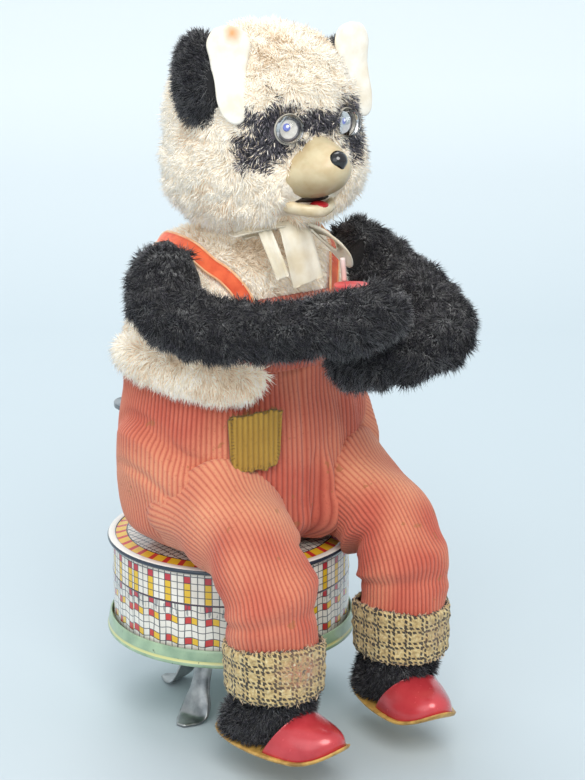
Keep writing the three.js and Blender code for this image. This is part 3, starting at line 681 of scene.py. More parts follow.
def wave_field(points, size, seed):
    """Smooth pseudo-random values, about -1 to 1, with features of the given size."""
    rng = np.random.default_rng(seed)
    waves = 7
    directions = unit(rng.normal(size=(waves, 3))) * (2 * np.pi / size) * rng.uniform(0.6, 1.5, (waves, 1))
    phases = rng.uniform(0, 2 * np.pi, waves)
    return np.sin(np.asarray(points) @ directions.T + phases).sum(-1) / 2.6


# ---- fur --------------------------------------------------------------------------------------------
def scatter(shape, per_mm2, rng):
    """Random points on a shape, with its normals there."""
    verts, groups = shape
    tri = np.concatenate([triangles(g) for g in groups])
    a, b, c = (verts[tri[:, i]] for i in range(3))
    cross = np.cross(b - a, c - a)
    area = np.linalg.norm(cross, axis=1) / 2
    pick = rng.choice(len(tri), int(area.sum() * per_mm2), p=area / area.sum())
    u, v = rng.random((2, len(pick)))
    over = u + v > 1
    u[over], v[over] = 1 - u[over], 1 - v[over]
    points = a[pick] + (b - a)[pick] * u[:, None] + (c - a)[pick] * v[:, None]
    return points, unit(cross[pick])


def tufts(points, normals, comb, stand, size, spread, seed, rng):
    """Hair directions: standing off the skin, combed, and leaning together in tufts of two sizes."""
    large = np.stack([wave_field(points, size, seed + k) for k in range(3)], -1)
    small = np.stack([wave_field(points, size / 3, seed + 3 + k) for k in range(3)], -1)
    loose = rng.normal(scale=0.22, size=points.shape)
    way = np.asarray(comb) + (large + 0.6 * small) * spread + loose
    way = way - normals * np.einsum("ij,ij->i", way, normals)[:, None]
    return unit(way + normals * stand)


def hairs(points, ways, lengths, width, root_shade, tip_shade, rng):
    """Closed three-sided tapering hairs, each bent a little at its middle: (shape, material index)."""
    n = len(points)
    lengths = np.broadcast_to(lengths, n)[:, None]
    widths = (width * rng.uniform(0.7, 1.3, n))[:, None, None]
    side = unit(np.cross(ways, rng.normal(size=(n, 3))))
    other = np.cross(ways, side)
    turn = circle(3)
    ring = side[:, None] * np.cos(turn)[:, None] + other[:, None] * np.sin(turn)[:, None]
    droop = np.array([0, 0, -0.12]) * lengths
    bend = side * lengths * rng.normal(scale=0.1, size=(n, 1)) + droop
    foot = (points - ways * 0.5)[:, None] + ring * widths
    knee = (points + ways * lengths * 0.55 + bend * 0.25)[:, None] + ring * widths * 0.72
    tip = (points + ways * lengths + bend)[:, None]
    verts = np.concatenate([foot, knee, tip], 1).reshape(-1, 3)
    start = np.arange(n)[:, None, None] * 7
    quads = (start + np.array([(0, 1, 4, 3), (1, 2, 5, 4), (2, 0, 3, 5)])).reshape(-1, 4)
    tris = (start + np.array([(3, 4, 6), (4, 5, 6), (5, 3, 6), (2, 1, 0)])).reshape(-1, 3)
    index = np.concatenate([np.repeat(root_shade, 3), np.repeat(tip_shade, 4)])
    return (verts, [quads, tris]), index


ALL = slice(None)


def coat(parts, points, ways, lengths, width, shades, body, rng):
    """A piece of pile for each (name, mask of its hairs)."""
    for name, part in parts:
        root, tip = (shade[part] for shade in shades)
        shape, index = hairs(points[part], ways[part], lengths[part], width, root, tip, rng)
        piece(name, shape, body, SHADES, index=index)


def shade_pick(rng, n, shades, weights):
    weights = np.asarray(weights, float)
    return rng.choice(np.asarray(shades), n, p=weights / weights.sum())


def cream_shades(points, seed, rng):
    """Root and tip shades of the cream plush: mostly pale, tan in soft patches."""
    n = len(points)
    tan = wave_field(points, 26, seed) + 0.5 * wave_field(points, 9, seed + 1)
    tan = tan + rng.normal(scale=0.35, size=n) > 0.95
    tip = np.where(tan, shade_pick(rng, n, [CREAM, IVORY, BEIGE, TAN], [2, 3, 3, 0.6]),
                   shade_pick(rng, n, [WHITE, CREAM, IVORY], [6, 3, 1]))
    # painted shade: roots are a step darker than tips, for the shade deep in the pile
    root = np.where(tan, shade_pick(rng, n, [IVORY, BEIGE, TAN], [3, 3, 1]),
                    shade_pick(rng, n, [WHITE, CREAM, IVORY], [2, 4, 2]))
    return root, tip


def black_shades(n, rng):
    # painted highlight: tips include charcoal and ash greys lighter than the roots, for the sheen on the black
    # pile
    return (shade_pick(rng, n, [INK, BLACK], [3, 1]),
            shade_pick(rng, n, [INK, BLACK, CHARCOAL, ASH], [5, 5, 3, 0.35]))


# ---- stool ------------------------------------------------------------------------------------------
def turned(name, profile, material, node):
    """A closed turned body about the stool's axis from [radius, height] points."""
    rings = np.array([[(r * math.cos(a), r * math.sin(a), z) for a in circle(160)] for r, z in profile])
    piece(name, loft(rings, ring_closed=True), "root", material, [node])


def rounded(profile, radius, steps):
    """The profile with each corner cut by a small curve."""
    made = []
    count = len(profile)
    for i, corner in enumerate(profile):
        corner = np.array(corner, float)
        before, after = (np.array(profile[(i + k) % count], float) for k in (-1, 1))
        a = corner + unit(before - corner) * min(radius, np.linalg.norm(before - corner) / 2.2)
        b = corner + unit(after - corner) * min(radius, np.linalg.norm(after - corner) / 2.2)
        for t in np.linspace(0, 1, steps):
            made.append((1 - t) ** 2 * a + 2 * t * (1 - t) * corner + t ** 2 * b)
    return made


def stool():
    r, base, wall, rim, crown = (STOOL[k] for k in ("radius", "base", "wall", "rim", "crown"))
    drum = [(r, wall), (r, 43), (r, 50.2), (r + 0.25, 50.6), (r, 51), (r, rim - 0.3), (r - 0.6, rim - 0.3),
            (r - 0.6, wall)]
    turned("drum", rounded(drum, 0.25, 3), "print", "stool_drum")
    seat = [(2.6, crown - 1.2), (20, crown - 2.2), (r - 5, rim + 0.4), (r + 0.9, rim), (r + 1.7, rim + 0.6),
            (r + 1.8, rim + 1.3), (r + 1.2, rim + 2.1), (r - 0.6, rim + 2.3), (r - 1.3, rim + 1.7),
            (r - 5, rim + 2.6), (r - 14, rim + 3.4), (20, crown - 1.2), (2.6, crown - 0.4)]
    turned("seat", rounded(seat, 0.5, 4), "print", "stool_seat")
    pan = [(3, base), (r + 1.2, base), (r + 2.3, base + 0.5), (r + 2.4, base + 1.3), (r + 1.9, base + 2.1),
           (r + 2.0, base + 2.8), (r + 1.5, wall + 0.6), (r + 1.1, wall + 1.3), (r + 0.6, wall + 1),
           (r + 1.1, base + 1.8), (r - 1, base + 1.6), (3, base + 1)]
    turned("base_pan", rounded(pan, 0.3, 3), "green", "stool_base")
    for i in range(4):
        stool_leg(i)


def stool_leg(index):
    """A pressed strip with rolled edges: a lug, a splayed shank with a raised rib, and an oval toe pad."""
    centre = [(8.6, 28.3), (12.4, 28.2), (14.6, 27.0), (16.4, 22), (19.2, 12.5), (21.6, 5), (23.0, 2.2),
              (24.8, 1.15), (27.2, 0.95), (29.4, 0.9), (30.6, 0.85)]
    half = [3.0, 3.6, 4.1, 4.0, 3.7, 3.6, 4.2, 5.6, 6.0, 4.6, 1.6]
    rows = 64
    line = curve([(r, 0, z) for r, z in centre], rows)
    share = np.linspace(0, 1, rows)
    widths = np.interp(share, np.linspace(0, 1, len(half)), half)
    along = heading(line)
    over = np.stack([-along[:, 2], np.zeros(rows), along[:, 0]], -1)
    over *= np.where(over[:, 2:] < 0, -1, 1)
    dish = 1.5 * (1 - smoothstep(0.7, 0.84, share)) * smoothstep(0.12, 0.25, share)
    outline = np.linspace(-1, 1, 15)

    def face(u, level, edge):
        """One face of the strip: across at u, at its own level, with its edges bent by edge."""
        sideways = line[:, None] + np.array([0, 1, 0]) * (widths[:, None] * u)[..., None]
        height = level + dish[:, None] * (0.5 - u * u) + edge * np.abs(u) ** 8
        return sideways + over[:, None] * height[..., None]

    rings = np.concatenate([face(outline, 0.5, -0.35), face(outline[::-1], -0.4, 0.2)], 1)
    rings[..., 2] = np.clip(rings[..., 2], 0.02, STOOL["base"] - 0.2)
    rings = spun(rings, math.radians(LEG_FIRST_ANGLE + 90 * index))
    name = f"leg_{index + 1}"
    piece(name, loft(rings), "root", "leg", [f"stool_{name}"])


# ---- dungarees --------------------------------------------------------------------------------------
WALE_VERTS = 6
WALE_DEPTH = 0.42


def ribs(turns):
    """Rib height, 0 to 1, from a running count of wales."""
    return np.abs(np.cos(np.pi * turns)) ** 0.9


def rib_marks(rise, worn, extra):
    """The attributes of ribbed cloth, with zeros for the extra points that follow the ribbed ones."""
    zeros = np.zeros(extra)
    return {"wale": np.append(rise, zeros), "wear": np.append(worn, zeros)}


def ribbed_sheet(name, front, back, rise, worn, material, node):
    """A closed sheet of ribbed cloth from the grids of its front and its smooth back."""
    smooth = np.zeros_like(rise)
    marks = rib_marks(np.hstack([rise, smooth]), np.hstack([worn, smooth]), 2)
    return piece(name, loft(np.hstack([front, back[:, ::-1]])), "root", material, [node], marks)


def body_folds(points):
    """How far the body cloth stands out or in, in millimetres: hip folds, belly drape and a front seam."""
    x, y, z = points[..., 0], points[..., 1], points[..., 2]
    front = smoothstep(8, -14, y)
    side_front = smoothstep(8, -12, y)
    made = np.zeros(x.shape)
    for side in (RIGHT, LEFT):
        u = side * x
        # the cloth of the lap bulges below a line that falls from the hip to the crotch
        below = np.interp(u, [6, 20, 30, 40, 47], [84, 89, 94, 102, 116]) - z
        lap = smoothstep(-1.5, 4, below) * smoothstep(34, 12, below) * smoothstep(5, 16, u)
        hollow = hump(below, -3.2, 2.2) * smoothstep(8, 20, u)
        made += (3.6 * lap - 2.0 * hollow) * side_front
        made -= 1.2 * hump(below - 2 * np.sin(u * 0.3), 14, 2.2) * smoothstep(24, 34, u) * side_front
        made += 0.6 * np.sin(u * 0.55 + z * 0.12) * smoothstep(126, 112, z) * front * smoothstep(6, 16, u)
    made += 0.8 * np.sin(np.arctan2(y + 8, x) * 9 + 1.3) * smoothstep(118, 130, z)
    made -= 0.9 * hump(x, 0, 0.6) * front
    pouch = smoothstep(104, 88, z) * front
    made += (3.4 * hump(x, 10, 2.6) - 3.0 * hump(x, 4.6, 1.9)) * pouch
    made += 2.2 * hump(z, 76, 6) * hump(x, 2, 9) * front
    return np.maximum(made, -0.9)


def dungaree_body():
    perimeter = 2 * math.pi * math.sqrt((46 ** 2 + (46 * TORSO["flatness"]) ** 2) / 2)
    wales = round(perimeter / WALE)
    sides = wales * WALE_VERTS
    outer = oval_rings([(30, 67.6), *TROUSER_SIDE], sides, 84)
    turns = np.arange(sides) / WALE_VERTS
    rise = ribs(turns)[None, :] * np.ones((len(outer), 1))
    away = unit((outer - level_axis(outer)) * np.array([1, 1 / TORSO["flatness"] ** 2, 0]))
    folds = body_folds(outer)
    hip = smoothstep(20, 40, np.abs(outer[..., 0])) * smoothstep(112, 96, outer[..., 2])
    worn = np.clip(0.12 + 0.25 * wave_field(outer, 30, 3) + 0.55 * hip, 0, 0.8)
    surface = outer + away * (folds + rise * WALE_DEPTH * (1 - 0.5 * worn))[..., None]
    surface[..., 2] = np.maximum(surface[..., 2], seat_height(surface) + 0.25)
    hem = surface[-1:] - away[-1:] * 1.2 + np.array([0, 0, 0.5])
    inner = (outer - away * 2.2)[::-12]
    inner[..., 2] = np.maximum(inner[..., 2], seat_height(inner) + 0.5)
    rings = np.concatenate([surface, hem, inner])
    marks = rib_marks(rise, worn, (len(rings) - len(surface)) * sides)
    made = piece("dungarees", loft(rings, ring_closed=True), "root", "coral",
                 ["dungarees_body"], marks)


def seat_height(points):
    """The stool's top under a point, or far below beyond its rim."""
    r = np.hypot(points[..., 0], points[..., 1])
    crown, rim = STOOL["crown"], STOOL["rim"]
    dome = np.interp(r, [0, 36, 39, 42.9], [crown, rim + 2.7, rim + 2.5, rim + 2.2])
    return np.where(r < 43.2, dome, -100.0)


LEG_PATH = [(20, 10, 84), (24, -5, 86), (25.3, -20, 84.8), (26.2, -34, 81.8), (27.2, -46, 76.5),
            (27.8, -54, 69.5), (27.8, -58.6, 61), (27.3, -60, 53), (27, -60, 45)]
LEG_RADII = [15, 20.5, 19.6, 17.8, 16.4, 15.4, 14.6, 14.2, 13.8]


def trouser_leg(side, word):
    rows = 130
    line = curve([(side * x, y, z) for x, y, z in LEG_PATH], rows)
    radii = np.interp(np.linspace(0, 1, rows), np.linspace(0, 1, len(LEG_RADII)), LEG_RADII)
    wales = round(2 * math.pi * 16.5 / WALE)
    sides = wales * WALE_VERTS
    turns = np.arange(sides) / WALE_VERTS

    def ridge(turn, share):
        behind = np.maximum(0, np.sin(turn + 2.2 * side))
        fold = 1.8 * hump(share, 0.66, 0.022) * behind
        fold -= 2.2 * hump(share, 0.7, 0.02) * behind
        fold += hump(share - 0.03 * np.cos(turn), 0.82, 0.028)
        fold -= hump(share, 0.87, 0.02)
        fold += 0.6 * np.sin(share * 31 + 2 * np.sin(turn + side)) * smoothstep(0.2, 0.4, share)
        fold += 0.7 * np.sin(turn * 3 + share * 9) * smoothstep(0.3, 0.5, share)
        # a soft crease that winds round the thigh
        fold -= 1.4 * hump(share - 0.08 * np.sin(turn), 0.3, 0.03) * np.maximum(0, np.cos(turn - 0.8))
        return fold

    rings = tube(line, radii, sides, ridge)
    away = unit(rings - line[:, None])
    knee = np.array([side * 28, -52, 95])
    near_knee = np.exp(-(np.linalg.norm(rings - knee, axis=-1) / 22) ** 2)
    outside = smoothstep(0, 40, side * rings[..., 0]) * smoothstep(-50, -10, rings[..., 1])
    worn = np.clip(0.02 + 0.95 * near_knee + 0.65 * outside + 0.25 * wave_field(rings, 24, 5), 0, 1)
    rise = ribs(turns)[None, :] * np.ones((len(rings), 1))
    rings = rings + away * (rise * WALE_DEPTH * (1 - 0.6 * worn))[..., None]
    # the cloth fills out where it runs over from the hip on to the thigh
    body = (np.hypot(rings[..., 0], (rings[..., 1] - TORSO["y"]) / TORSO["flatness"]) - 46.5) * 0.85
    blend = np.clip(11 - np.abs(body), 0, 11) ** 2 / 44
    blend = blend * smoothstep(74, 84, rings[..., 2]) * smoothstep(-8, -18, rings[..., 1])
    rings = rings + away * blend[..., None]
    rings[..., 2] = np.maximum(rings[..., 2], seat_height(rings) + 0.3)
    made = piece(f"trouser_leg_cloth_{word}", loft(rings), "root", "coral",
                 [f"trouser_leg_{word}"], rib_marks(rise, worn, 2))


def bib():
    """The front panel: a ribbed sheet that lies on the chest, with a turned top hem."""
    low, high = WAIST - 1.5, 153.6
    rows, across = 40, 30 * WALE_VERTS
    t = np.linspace(0, 1, rows)[:, None]
    u = np.linspace(-1, 1, across)[None, :]
    z = low + (high - low) * t - 0.8 * u ** 2 * t
    half = 30 + (17.6 - 30) * smoothstep(0, 1, t) ** 0.9
    x = half * u
    y = chest_front(x, z, 1.7)
    hem = hump(t, 0.9, 0.012)
    rise = ribs(x / WALE) * (1 - 0.8 * hem)
    front = np.stack([x, y - rise * WALE_DEPTH - 0.5 * (t > 0.9) * (t < 0.985) + 0.35 * hem, z], -1)
    back = np.stack([x, y + 0.7, z], -1)
    worn = np.clip(0.25 + 0.3 * wave_field(front, 18, 4), 0, 0.7)
    made = ribbed_sheet("bib", front, back, rise, worn, "coral", "dungarees_bib")


def belly_patch():
    """A mustard corduroy patch with ragged edges, sewn on with overcast stitches."""
    rng = np.random.default_rng(SEED)
    rows, across = 30, 11 * WALE_VERTS
    t = np.linspace(-1, 1, rows)[:, None]
    u = np.linspace(-1, 1, across)[None, :]
    corner = np.sqrt(np.clip(1 - np.clip((-t - 0.45) / 0.62, 0, 1) ** 2, 0, 1))
    half = 8.6 * (0.62 + 0.38 * corner) + 0.5 * t
    x = half * u
    frayed = 0.5 * wave_field(np.stack([x, 0 * x, 0 * x], -1), 2.2, 8) * smoothstep(0.8, 1, np.abs(t))
    z = 9.2 * t + 0.5 * (1 - u ** 2) * (t < 0) * t + frayed + 0.7 * u * (t + 1) / 2
    rise = ribs(x / 1.75)
    curl = 0.5 * np.maximum(0, t) ** 6 * np.abs(u) ** 2
    sag = 0.012 * x ** 2

    def set_in(depth):
        local = np.stack([x, depth + sag - curl, z], -1)
        return spun(local, math.radians(-19)) + np.array([-19.6, -40.9, 108.6])

    front, back = set_in(-rise * 0.45 - 0.2), set_in(0.6 + 0 * rise)
    made = ribbed_sheet("patch", front, back, rise, 0.3 + 0 * rise, "mustard", "belly_patch")
    # loose threads along the top edge, and stitches over the other three
    top = set_in(-0.3 + 0 * rise)
    threads = []
    for _ in range(90):
        start = top[-1, rng.integers(0, across)]
        loose = np.array([rng.normal(0, 0.9), -rng.uniform(0.1, 0.7), rng.uniform(0.3, 1.9)])
        threads.append((start, start + loose))
    edge = [top[i, j] for i in range(2, rows - 1, 2) for j in (0, across - 1)]
    edge += [top[0, j] for j in range(4, across - 3, 6)]
    centre = top[rows // 2, across // 2]
    for p in edge:
        out = unit(p - centre)
        threads.append((p - out * 0.9 - [0, 0.35, 0], p + out * 0.7))
    a, b = (np.array([pair[k] for pair in threads]) for k in (0, 1))
    shade = np.full(len(a), 0)
    shape = hairs(a, unit(b - a), np.linalg.norm(b - a, axis=1), 0.13, shade, shade, rng)[0]
    piece("patch_threads", shape, "root", "mustard")


def suspender(side, word):
    """A cotton band with pale bound edges, from the bib's corner over the shoulder to the waist behind."""
    front = [(16.8, 148.5), (17.4, 152), (19.2, 156.5), (22.2, 161), (25.2, 164)]
    route = []
    for x, z in front:
        route.append((x, chest_front(x, z, 1.2), z))
    shoulder = CHEST_SIDE[2:]
    for x, y in ((27.2, -17.5), (27.4, -11), (26.4, -3), (24.8, 4)):
        r = math.hypot(x, (y - TORSO["y"]) / TORSO["flatness"])
        route.append((x, y, np.interp(-r, [-w for w, _ in shoulder], [h for _, h in shoulder]) + 1.2))
    route += [(23, 12.4, 160.5), (21, 18.6, 152), (20, 22.4, 142), (20, 24, 131)]
    rows = 90
    line = curve([(side * x, y, z) for x, y, z in route], rows)
    along = heading(line)
    from_middle = line - np.array([0, TORSO["y"], 138])
    across = unit(np.cross(along, from_middle))
    out = np.cross(across, along)
    out *= np.where(np.einsum("ij,ij->i", out, from_middle) < 0, -1, 1)[:, None]
    half, thick = 2.9, 0.4
    section = np.array([(-1, 0), (-0.98, 0.55), (-0.84, 0.8), (-0.76, 0.35), (-0.4, 0.42), (0, 0.5),
                        (0.4, 0.42), (0.76, 0.35), (0.84, 0.8), (0.98, 0.55), (1, 0), (0.8, -0.35),
                        (0, -0.4), (-0.8, -0.35)])
    wobble = 0.3 * np.sin(np.linspace(0, 9, rows) + side)[:, None]
    rings = line[:, None] + across[:, None] * (section[:, 0] * half + wobble)[..., None]
    rings = rings + out[:, None] * (section[:, 1] * thick * 2)[None, :, None]
    shape = loft(rings)
    k = len(section)
    columns = np.arange(len(shape[1][0])) % k
    pale = np.isin(columns, [0, 1, 2, 7, 8, 9])
    index = np.concatenate([pale.astype(int), np.zeros(2 * k, int)])
    made = piece(f"strap_{word}", shape, "root", ("strap", "strap_edge"),
                 [f"suspender_{word}"], index=index)


def cuff(side, word):
    """A turned-up tweed band, ragged at both edges."""
    sides, rows = 220, 26
    turn = circle(sides)
    t = np.linspace(0, 1, rows)[:, None]
    wave = 0.5 * np.sin(turn * 3 + side) + 0.3 * np.sin(turn * 7 + 2)
    ragged = 0.35 * np.sin(turn * 31) * np.sin(turn * 13 + 1) + 0.25 * np.sin(turn * 57 + side)
    low = 32.9 + 0.8 * np.sin(turn + 0.6) + ragged
    high = 49.6 + 0.8 * np.sin(turn * 2 + side) + ragged[::-1]
    z = low + (high - low) * t
    rolled = 0.9 * smoothstep(0.94, 1, t) + 0.5 * smoothstep(0.06, 0, t)
    r = 15.9 + 0.4 * t + wave * (0.4 + 0.6 * t) - rolled
    bumps = 0.25 * wave_field(np.stack([r * np.cos(turn), r * np.sin(turn), z], -1), 3.2, 11)
    centre = np.array([side * 26.8, -60, 0])

    def ring_at(radius, height):
        return np.stack([radius * np.cos(turn), radius * np.sin(turn), height + 0 * radius], -1) + centre

    outer = ring_at(r + bumps, z)
    inner = ring_at(np.broadcast_to(r - 1.1, z.shape), z)[::-1]
    rings = np.concatenate([outer, inner])
    around = np.broadcast_to(turn * 16.05, (2 * rows, sides))
    up = np.concatenate([z, z[::-1]]) + 0 * around
    front = hump(np.mod(turn + np.pi / 2 - 0.1 * side + np.pi, 2 * np.pi), np.pi, 0.42)
    amount = (1.0 if side < 0 else 0.25) * front * hump(t, 0.62, 0.3)
    worn = np.concatenate([amount, amount[::-1]])
    attributes = {"around": around, "up": up, "wear": worn}
    made = piece(f"cuff_cloth_{word}", loft(rings, ring_closed=True), "root", "tweed",
                 [f"cuff_{word}"], attributes)
    rng = np.random.default_rng(SEED + side)
    above, below = 150, 60
    roots = np.concatenate([outer[-1][rng.integers(0, sides, above)],
                            outer[0][rng.integers(0, sides, below)]])
    ways = unit(np.concatenate([rng.normal(0, 0.5, (above, 3)) + [0, 0, 1],
                                rng.normal(0, 0.5, (below, 3)) - [0, 0, 1]]))
    shade = np.where(rng.random(len(roots)) < 0.75, 0, 1)
    fuzz, index = hairs(roots, ways, rng.uniform(0.5, 1.8, len(roots)), 0.11, shade, shade, rng)
    piece(f"cuff_threads_{word}", fuzz, "root", (SHADES[TAN], SHADES[CHARCOAL]), index=index)


# ---- feet -------------------------------------------------------------------------------------------
def shoe_place(points, side):
    """From the sole's own frame, toe at -Y, to the model."""
    p = np.asarray(points, float).copy()
    past = np.minimum(0, p[..., 1] - TOE_SPRING["from"])
    p[..., 2] += TOE_SPRING["rate"] * past ** 2
    return spun(p, math.radians(-side * FOOT["toe_in"])) + np.array([side * FOOT["x"], FOOT["y"], 0])


def squared(turn, x_power, y_power):
    """X and y of an oval with fuller corners, 1 at its ends, from the angles round it."""
    x = np.sign(np.cos(turn)) * np.abs(np.cos(turn)) ** x_power
    y = np.sign(np.sin(turn)) * np.abs(np.sin(turn)) ** y_power
    return x, y


def sole_plan(grow):
    turn = circle(120)
    a, b = FOOT["width"] / 2 + grow, FOOT["length"] / 2 + grow
    bulge = 1 - 0.04 * np.sin(turn)
    square = np.where(np.sin(turn) < 0, 0.98, 0.85)
    x, y = squared(turn, square, 1)
    return np.stack([a * x * bulge, b * y], -1)


def shoe(side, word):
    top = FOOT["sole"]
    # grow, height: a thin welt that turns up slightly at its edge
    levels = [(-6, top - 1.3), (-1, top - 1.3), (0.25, top - 1.15), (0.7, top - 0.6), (0.75, top - 0.1),
              (0.3, top + 0.15), (-0.5, top + 0.05), (-2, top - 0.1), (-7, top - 0.1)]
    rings = []
    for grow, z in levels:
        plan = sole_plan(grow)
        rings.append(np.column_stack([plan, np.full(len(plan), z)]))
    sole = loft(shoe_place(np.array(rings), side))
    piece(f"sole_{word}", sole, "root", "sole", [f"shoe_sole_{word}"])
    # the toe cap: a smooth dome cut off on a slant
    half_turn = np.linspace(0, np.pi, 64)
    rings = []
    for t in np.linspace(0.015, 1, 48):
        tilt = t * np.pi * 0.62
        x = 11.5 * np.sin(tilt) * np.cos(half_turn)
        z = 12.6 * np.sin(tilt) * np.sin(half_turn) ** 0.9
        y = -4.4 - 20.3 * np.cos(tilt) + 0 * z
        limit = -1.4 - np.tan(CAP_SLANT) * z
        rings.append(np.stack([x, np.minimum(y, limit), z + top + 0.1], -1))
    rings = np.array(rings)
    flat = rings.copy()[:, ::-1][:, 1:-1]
    flat[..., 2] = top + 0.05
    rings = np.concatenate([rings, flat], 1)
    cap = loft(shoe_place(rings, side))
    piece(f"toe_cap_{word}", cap, "root", "shoe", [f"shoe_toe_cap_{word}"])


def ankle(side, word):
    rng = np.random.default_rng(SEED + 20 + side)
    top = FOOT["sole"]
    # height, front and back of the oval section, half width
    levels = np.array([(top + 0.3, -2.5, 21.4, 9.8), (top + 3, -3.6, 21.8, 10.2), (top + 7, -6, 20.6, 10.4),
                       (top + 11, -8.4, 18, 10.6), (top + 15, -9.4, 15.2, 10.8), (top + 18, -9.4, 13.2, 10.6),
                       (top + 22, -8.6, 12.2, 10)])
    table = curve(levels[:, :3], 40)
    half = np.interp(table[:, 0], levels[:, 0], levels[:, 3])
    turn = circle(64)
    rings = np.array([np.stack([w * np.cos(turn), (f + b) / 2 + (b - f) / 2 * np.sin(turn), z + 0 * turn], -1)
                      for (z, f, b), w in zip(table, half)])
    shape = loft(shoe_place(rings, side))
    piece(f"ankle_skin_{word}", shape, "root", "black_base", [f"ankle_fur_{word}"])
    points, normals = scatter(shape, 4.2, rng)
    keep = (points[:, 2] < top + 22) & (points[:, 2] > top + 0.8) & (np.abs(normals[:, 2]) < 0.95)
    points, normals = points[keep], normals[keep]
    lower = smoothstep(top + 15, top + 5, points[:, 2])[:, None]
    comb = np.array([0, 0, -0.25]) * lower + np.array([0, -0.35, 0]) * (1 - lower)
    ways = tufts(points, normals, comb, 0.9, 6, 0.4, 40, rng)
    ways[:, 2] = np.where(points[:, 2] < top + 4, np.maximum(ways[:, 2], -0.12), ways[:, 2])
    shades = black_shades(len(points), rng)
    lengths = rng.uniform(2.2, 4.2, len(points))
    parts = [(f"ankle_hair_{word}", ALL)]
    coat(parts, points, unit(ways), lengths, 0.17, shades, "root", rng)


# ---- plush body and arms ----------------------------------------------------------------------------
def chest():
    rng = np.random.default_rng(SEED + 1)
    side = [(38.5, 126), (40.8, 130), (41.6, 135), (40.3, 142), (37.9, 150), (35.2, 158), (30.0, 165.6),
            (22, 169.4), (13, 171.6), (8, 172)]
    rings = oval_rings(side, 140, 60)
    lumps = 0.6 * wave_field(rings, 14, 2)
    rings = rings + unit(rings - level_axis(rings)) * lumps[..., None]
    shape = loft(rings)
    made = piece("chest_skin", shape, "root", "cream_base", ["plush_chest"])
    points, normals = scatter(shape, 3.4, rng)
    bib_half = np.interp(points[:, 2], [130, 154], [31, 18])
    under_bib = (points[:, 1] < -26) & (np.abs(points[:, 0]) < bib_half) & (points[:, 2] < 154)
    keep = ~under_bib & (points[:, 2] > 128.5) & (np.abs(normals[:, 2]) < 0.98)
    points, normals = points[keep], normals[keep]
    waist = smoothstep(141, 132, points[:, 2])[:, None]
    comb = np.array([0, 0, -0.7]) + waist * np.array([0, 0, -0.5])
    ways = tufts(points, normals, comb, 0.75, 7, 0.35, 60, rng)
    # the pile lies flat under the straps
    strap_x = np.interp(points[:, 2], [148, 156, 161, 166], [17, 19.2, 22.2, 26.5])
    flat = smoothstep(5.0, 3.4, np.abs(np.abs(points[:, 0]) - strap_x)) * (points[:, 2] > 147)
    lengths = rng.uniform(2.4, 4.2, len(points)) + 2.2 * waist[:, 0] * (points[:, 0] < -12)
    lengths = lengths * (1 - 0.75 * flat)
    ways = unit(ways + flat[:, None] * np.array([0, 0, -1.2]))
    shades = cream_shades(points, 4, rng)
    forward = points[:, 1] < TORSO["y"]
    parts = [("chest_hair_front", forward), ("chest_hair_back", ~forward)]
    coat(parts, points, ways, lengths, 0.19, shades, "root", rng)


def waist_tuft():
    """The plush that has pulled out over the waistband at the right side."""
    rng = np.random.default_rng(SEED + 2)
    rows = 60
    line = curve([(-38.5, 6, 133.5), (-41.5, -8, 133.5), (-38.5, -21, 132), (-30.5, -31.0, 129.8),
                  (-22, -36.0, 128), (-15, -38.4, 130)], rows)
    radii = np.interp(np.linspace(0, 1, rows), [0, 0.15, 0.4, 0.7, 0.9, 1], [1.5, 4.2, 5.4, 6.0, 4.6, 1.2])
    shape = loft(tube(line, radii, 36))
    piece("waist_skin", shape, "root", "cream_base")
    points, normals = scatter(shape, 5.0, rng)
    inward = unit(level_axis(points) - points)
    keep = np.einsum("ij,ij->i", inward, normals) < 0.4
    points, normals = points[keep], normals[keep]
    ways = tufts(points, normals, np.array([0, -0.1, -0.85]), 0.65, 5, 0.4, 70, rng)
    shades = cream_shades(points, 6, rng)
    lengths = rng.uniform(2.8, 5.4, len(points))
    coat([("waist_hair", ALL)], points, ways, lengths, 0.18, shades, "root", rng)


def arm(side, word):
    rng = np.random.default_rng(SEED + 30 + side)
    rows = 90
    line = curve(ARM_PATH[word], rows)
    stations, widths = [0, 0.08, 0.3, 0.5, 0.75, 0.9, 1], [9.6, 10.0, 9.2, 7.4, 7.2, 8.2, 8.0]
    radii = np.interp(np.linspace(0, 1, rows), stations, widths)
    rings = tube(line, radii, 48)
    tip_way = unit(line[-1] - line[-2])
    cap = []
    for t in np.linspace(0.12, 0.98, 10):
        angle = t * np.pi / 2
        cap.append((rings[-1] - line[-1]) * math.cos(angle) + line[-1] + tip_way * 8 * math.sin(angle))
    rings = np.concatenate([rings, np.array(cap)])
    middle = np.concatenate([line, np.array([c.mean(0) for c in cap])])[:, None]
    rings = rings + unit(rings - middle) * (0.8 * wave_field(rings, 11, 5))[..., None]
    shape = loft(rings)
    body = f"arm_{word}"
    made = piece(f"arm_skin_{word}", shape, body, "black_base", [f"arm_sleeve_{word}"])
    points, normals = scatter(shape, 5.6, rng)
    inside = np.abs(points[:, 0]) < 34.4
    at_shoulder = np.linalg.norm(points - line[0], axis=1) < 10
    keep = ~(inside & at_shoulder)
    points, normals = points[keep], normals[keep]
    nearest = ((points[:, None, :] - line[None, ::3]) ** 2).sum(-1).argmin(1) * 3
    along = heading(line)[nearest]
    ways = tufts(points, normals, along * 0.4 + [0, 0, -0.3], 0.55, 7.5, 0.6, 80, rng)
    shades = black_shades(len(points), rng)
    lengths = rng.uniform(2.4, 4.8, len(points))
    upper = nearest < rows // 2
    parts = [(f"arm_hair_upper_{word}", upper), (f"arm_hair_lower_{word}", ~upper)]
    coat(parts, points, ways, lengths, 0.14, shades, body, rng)


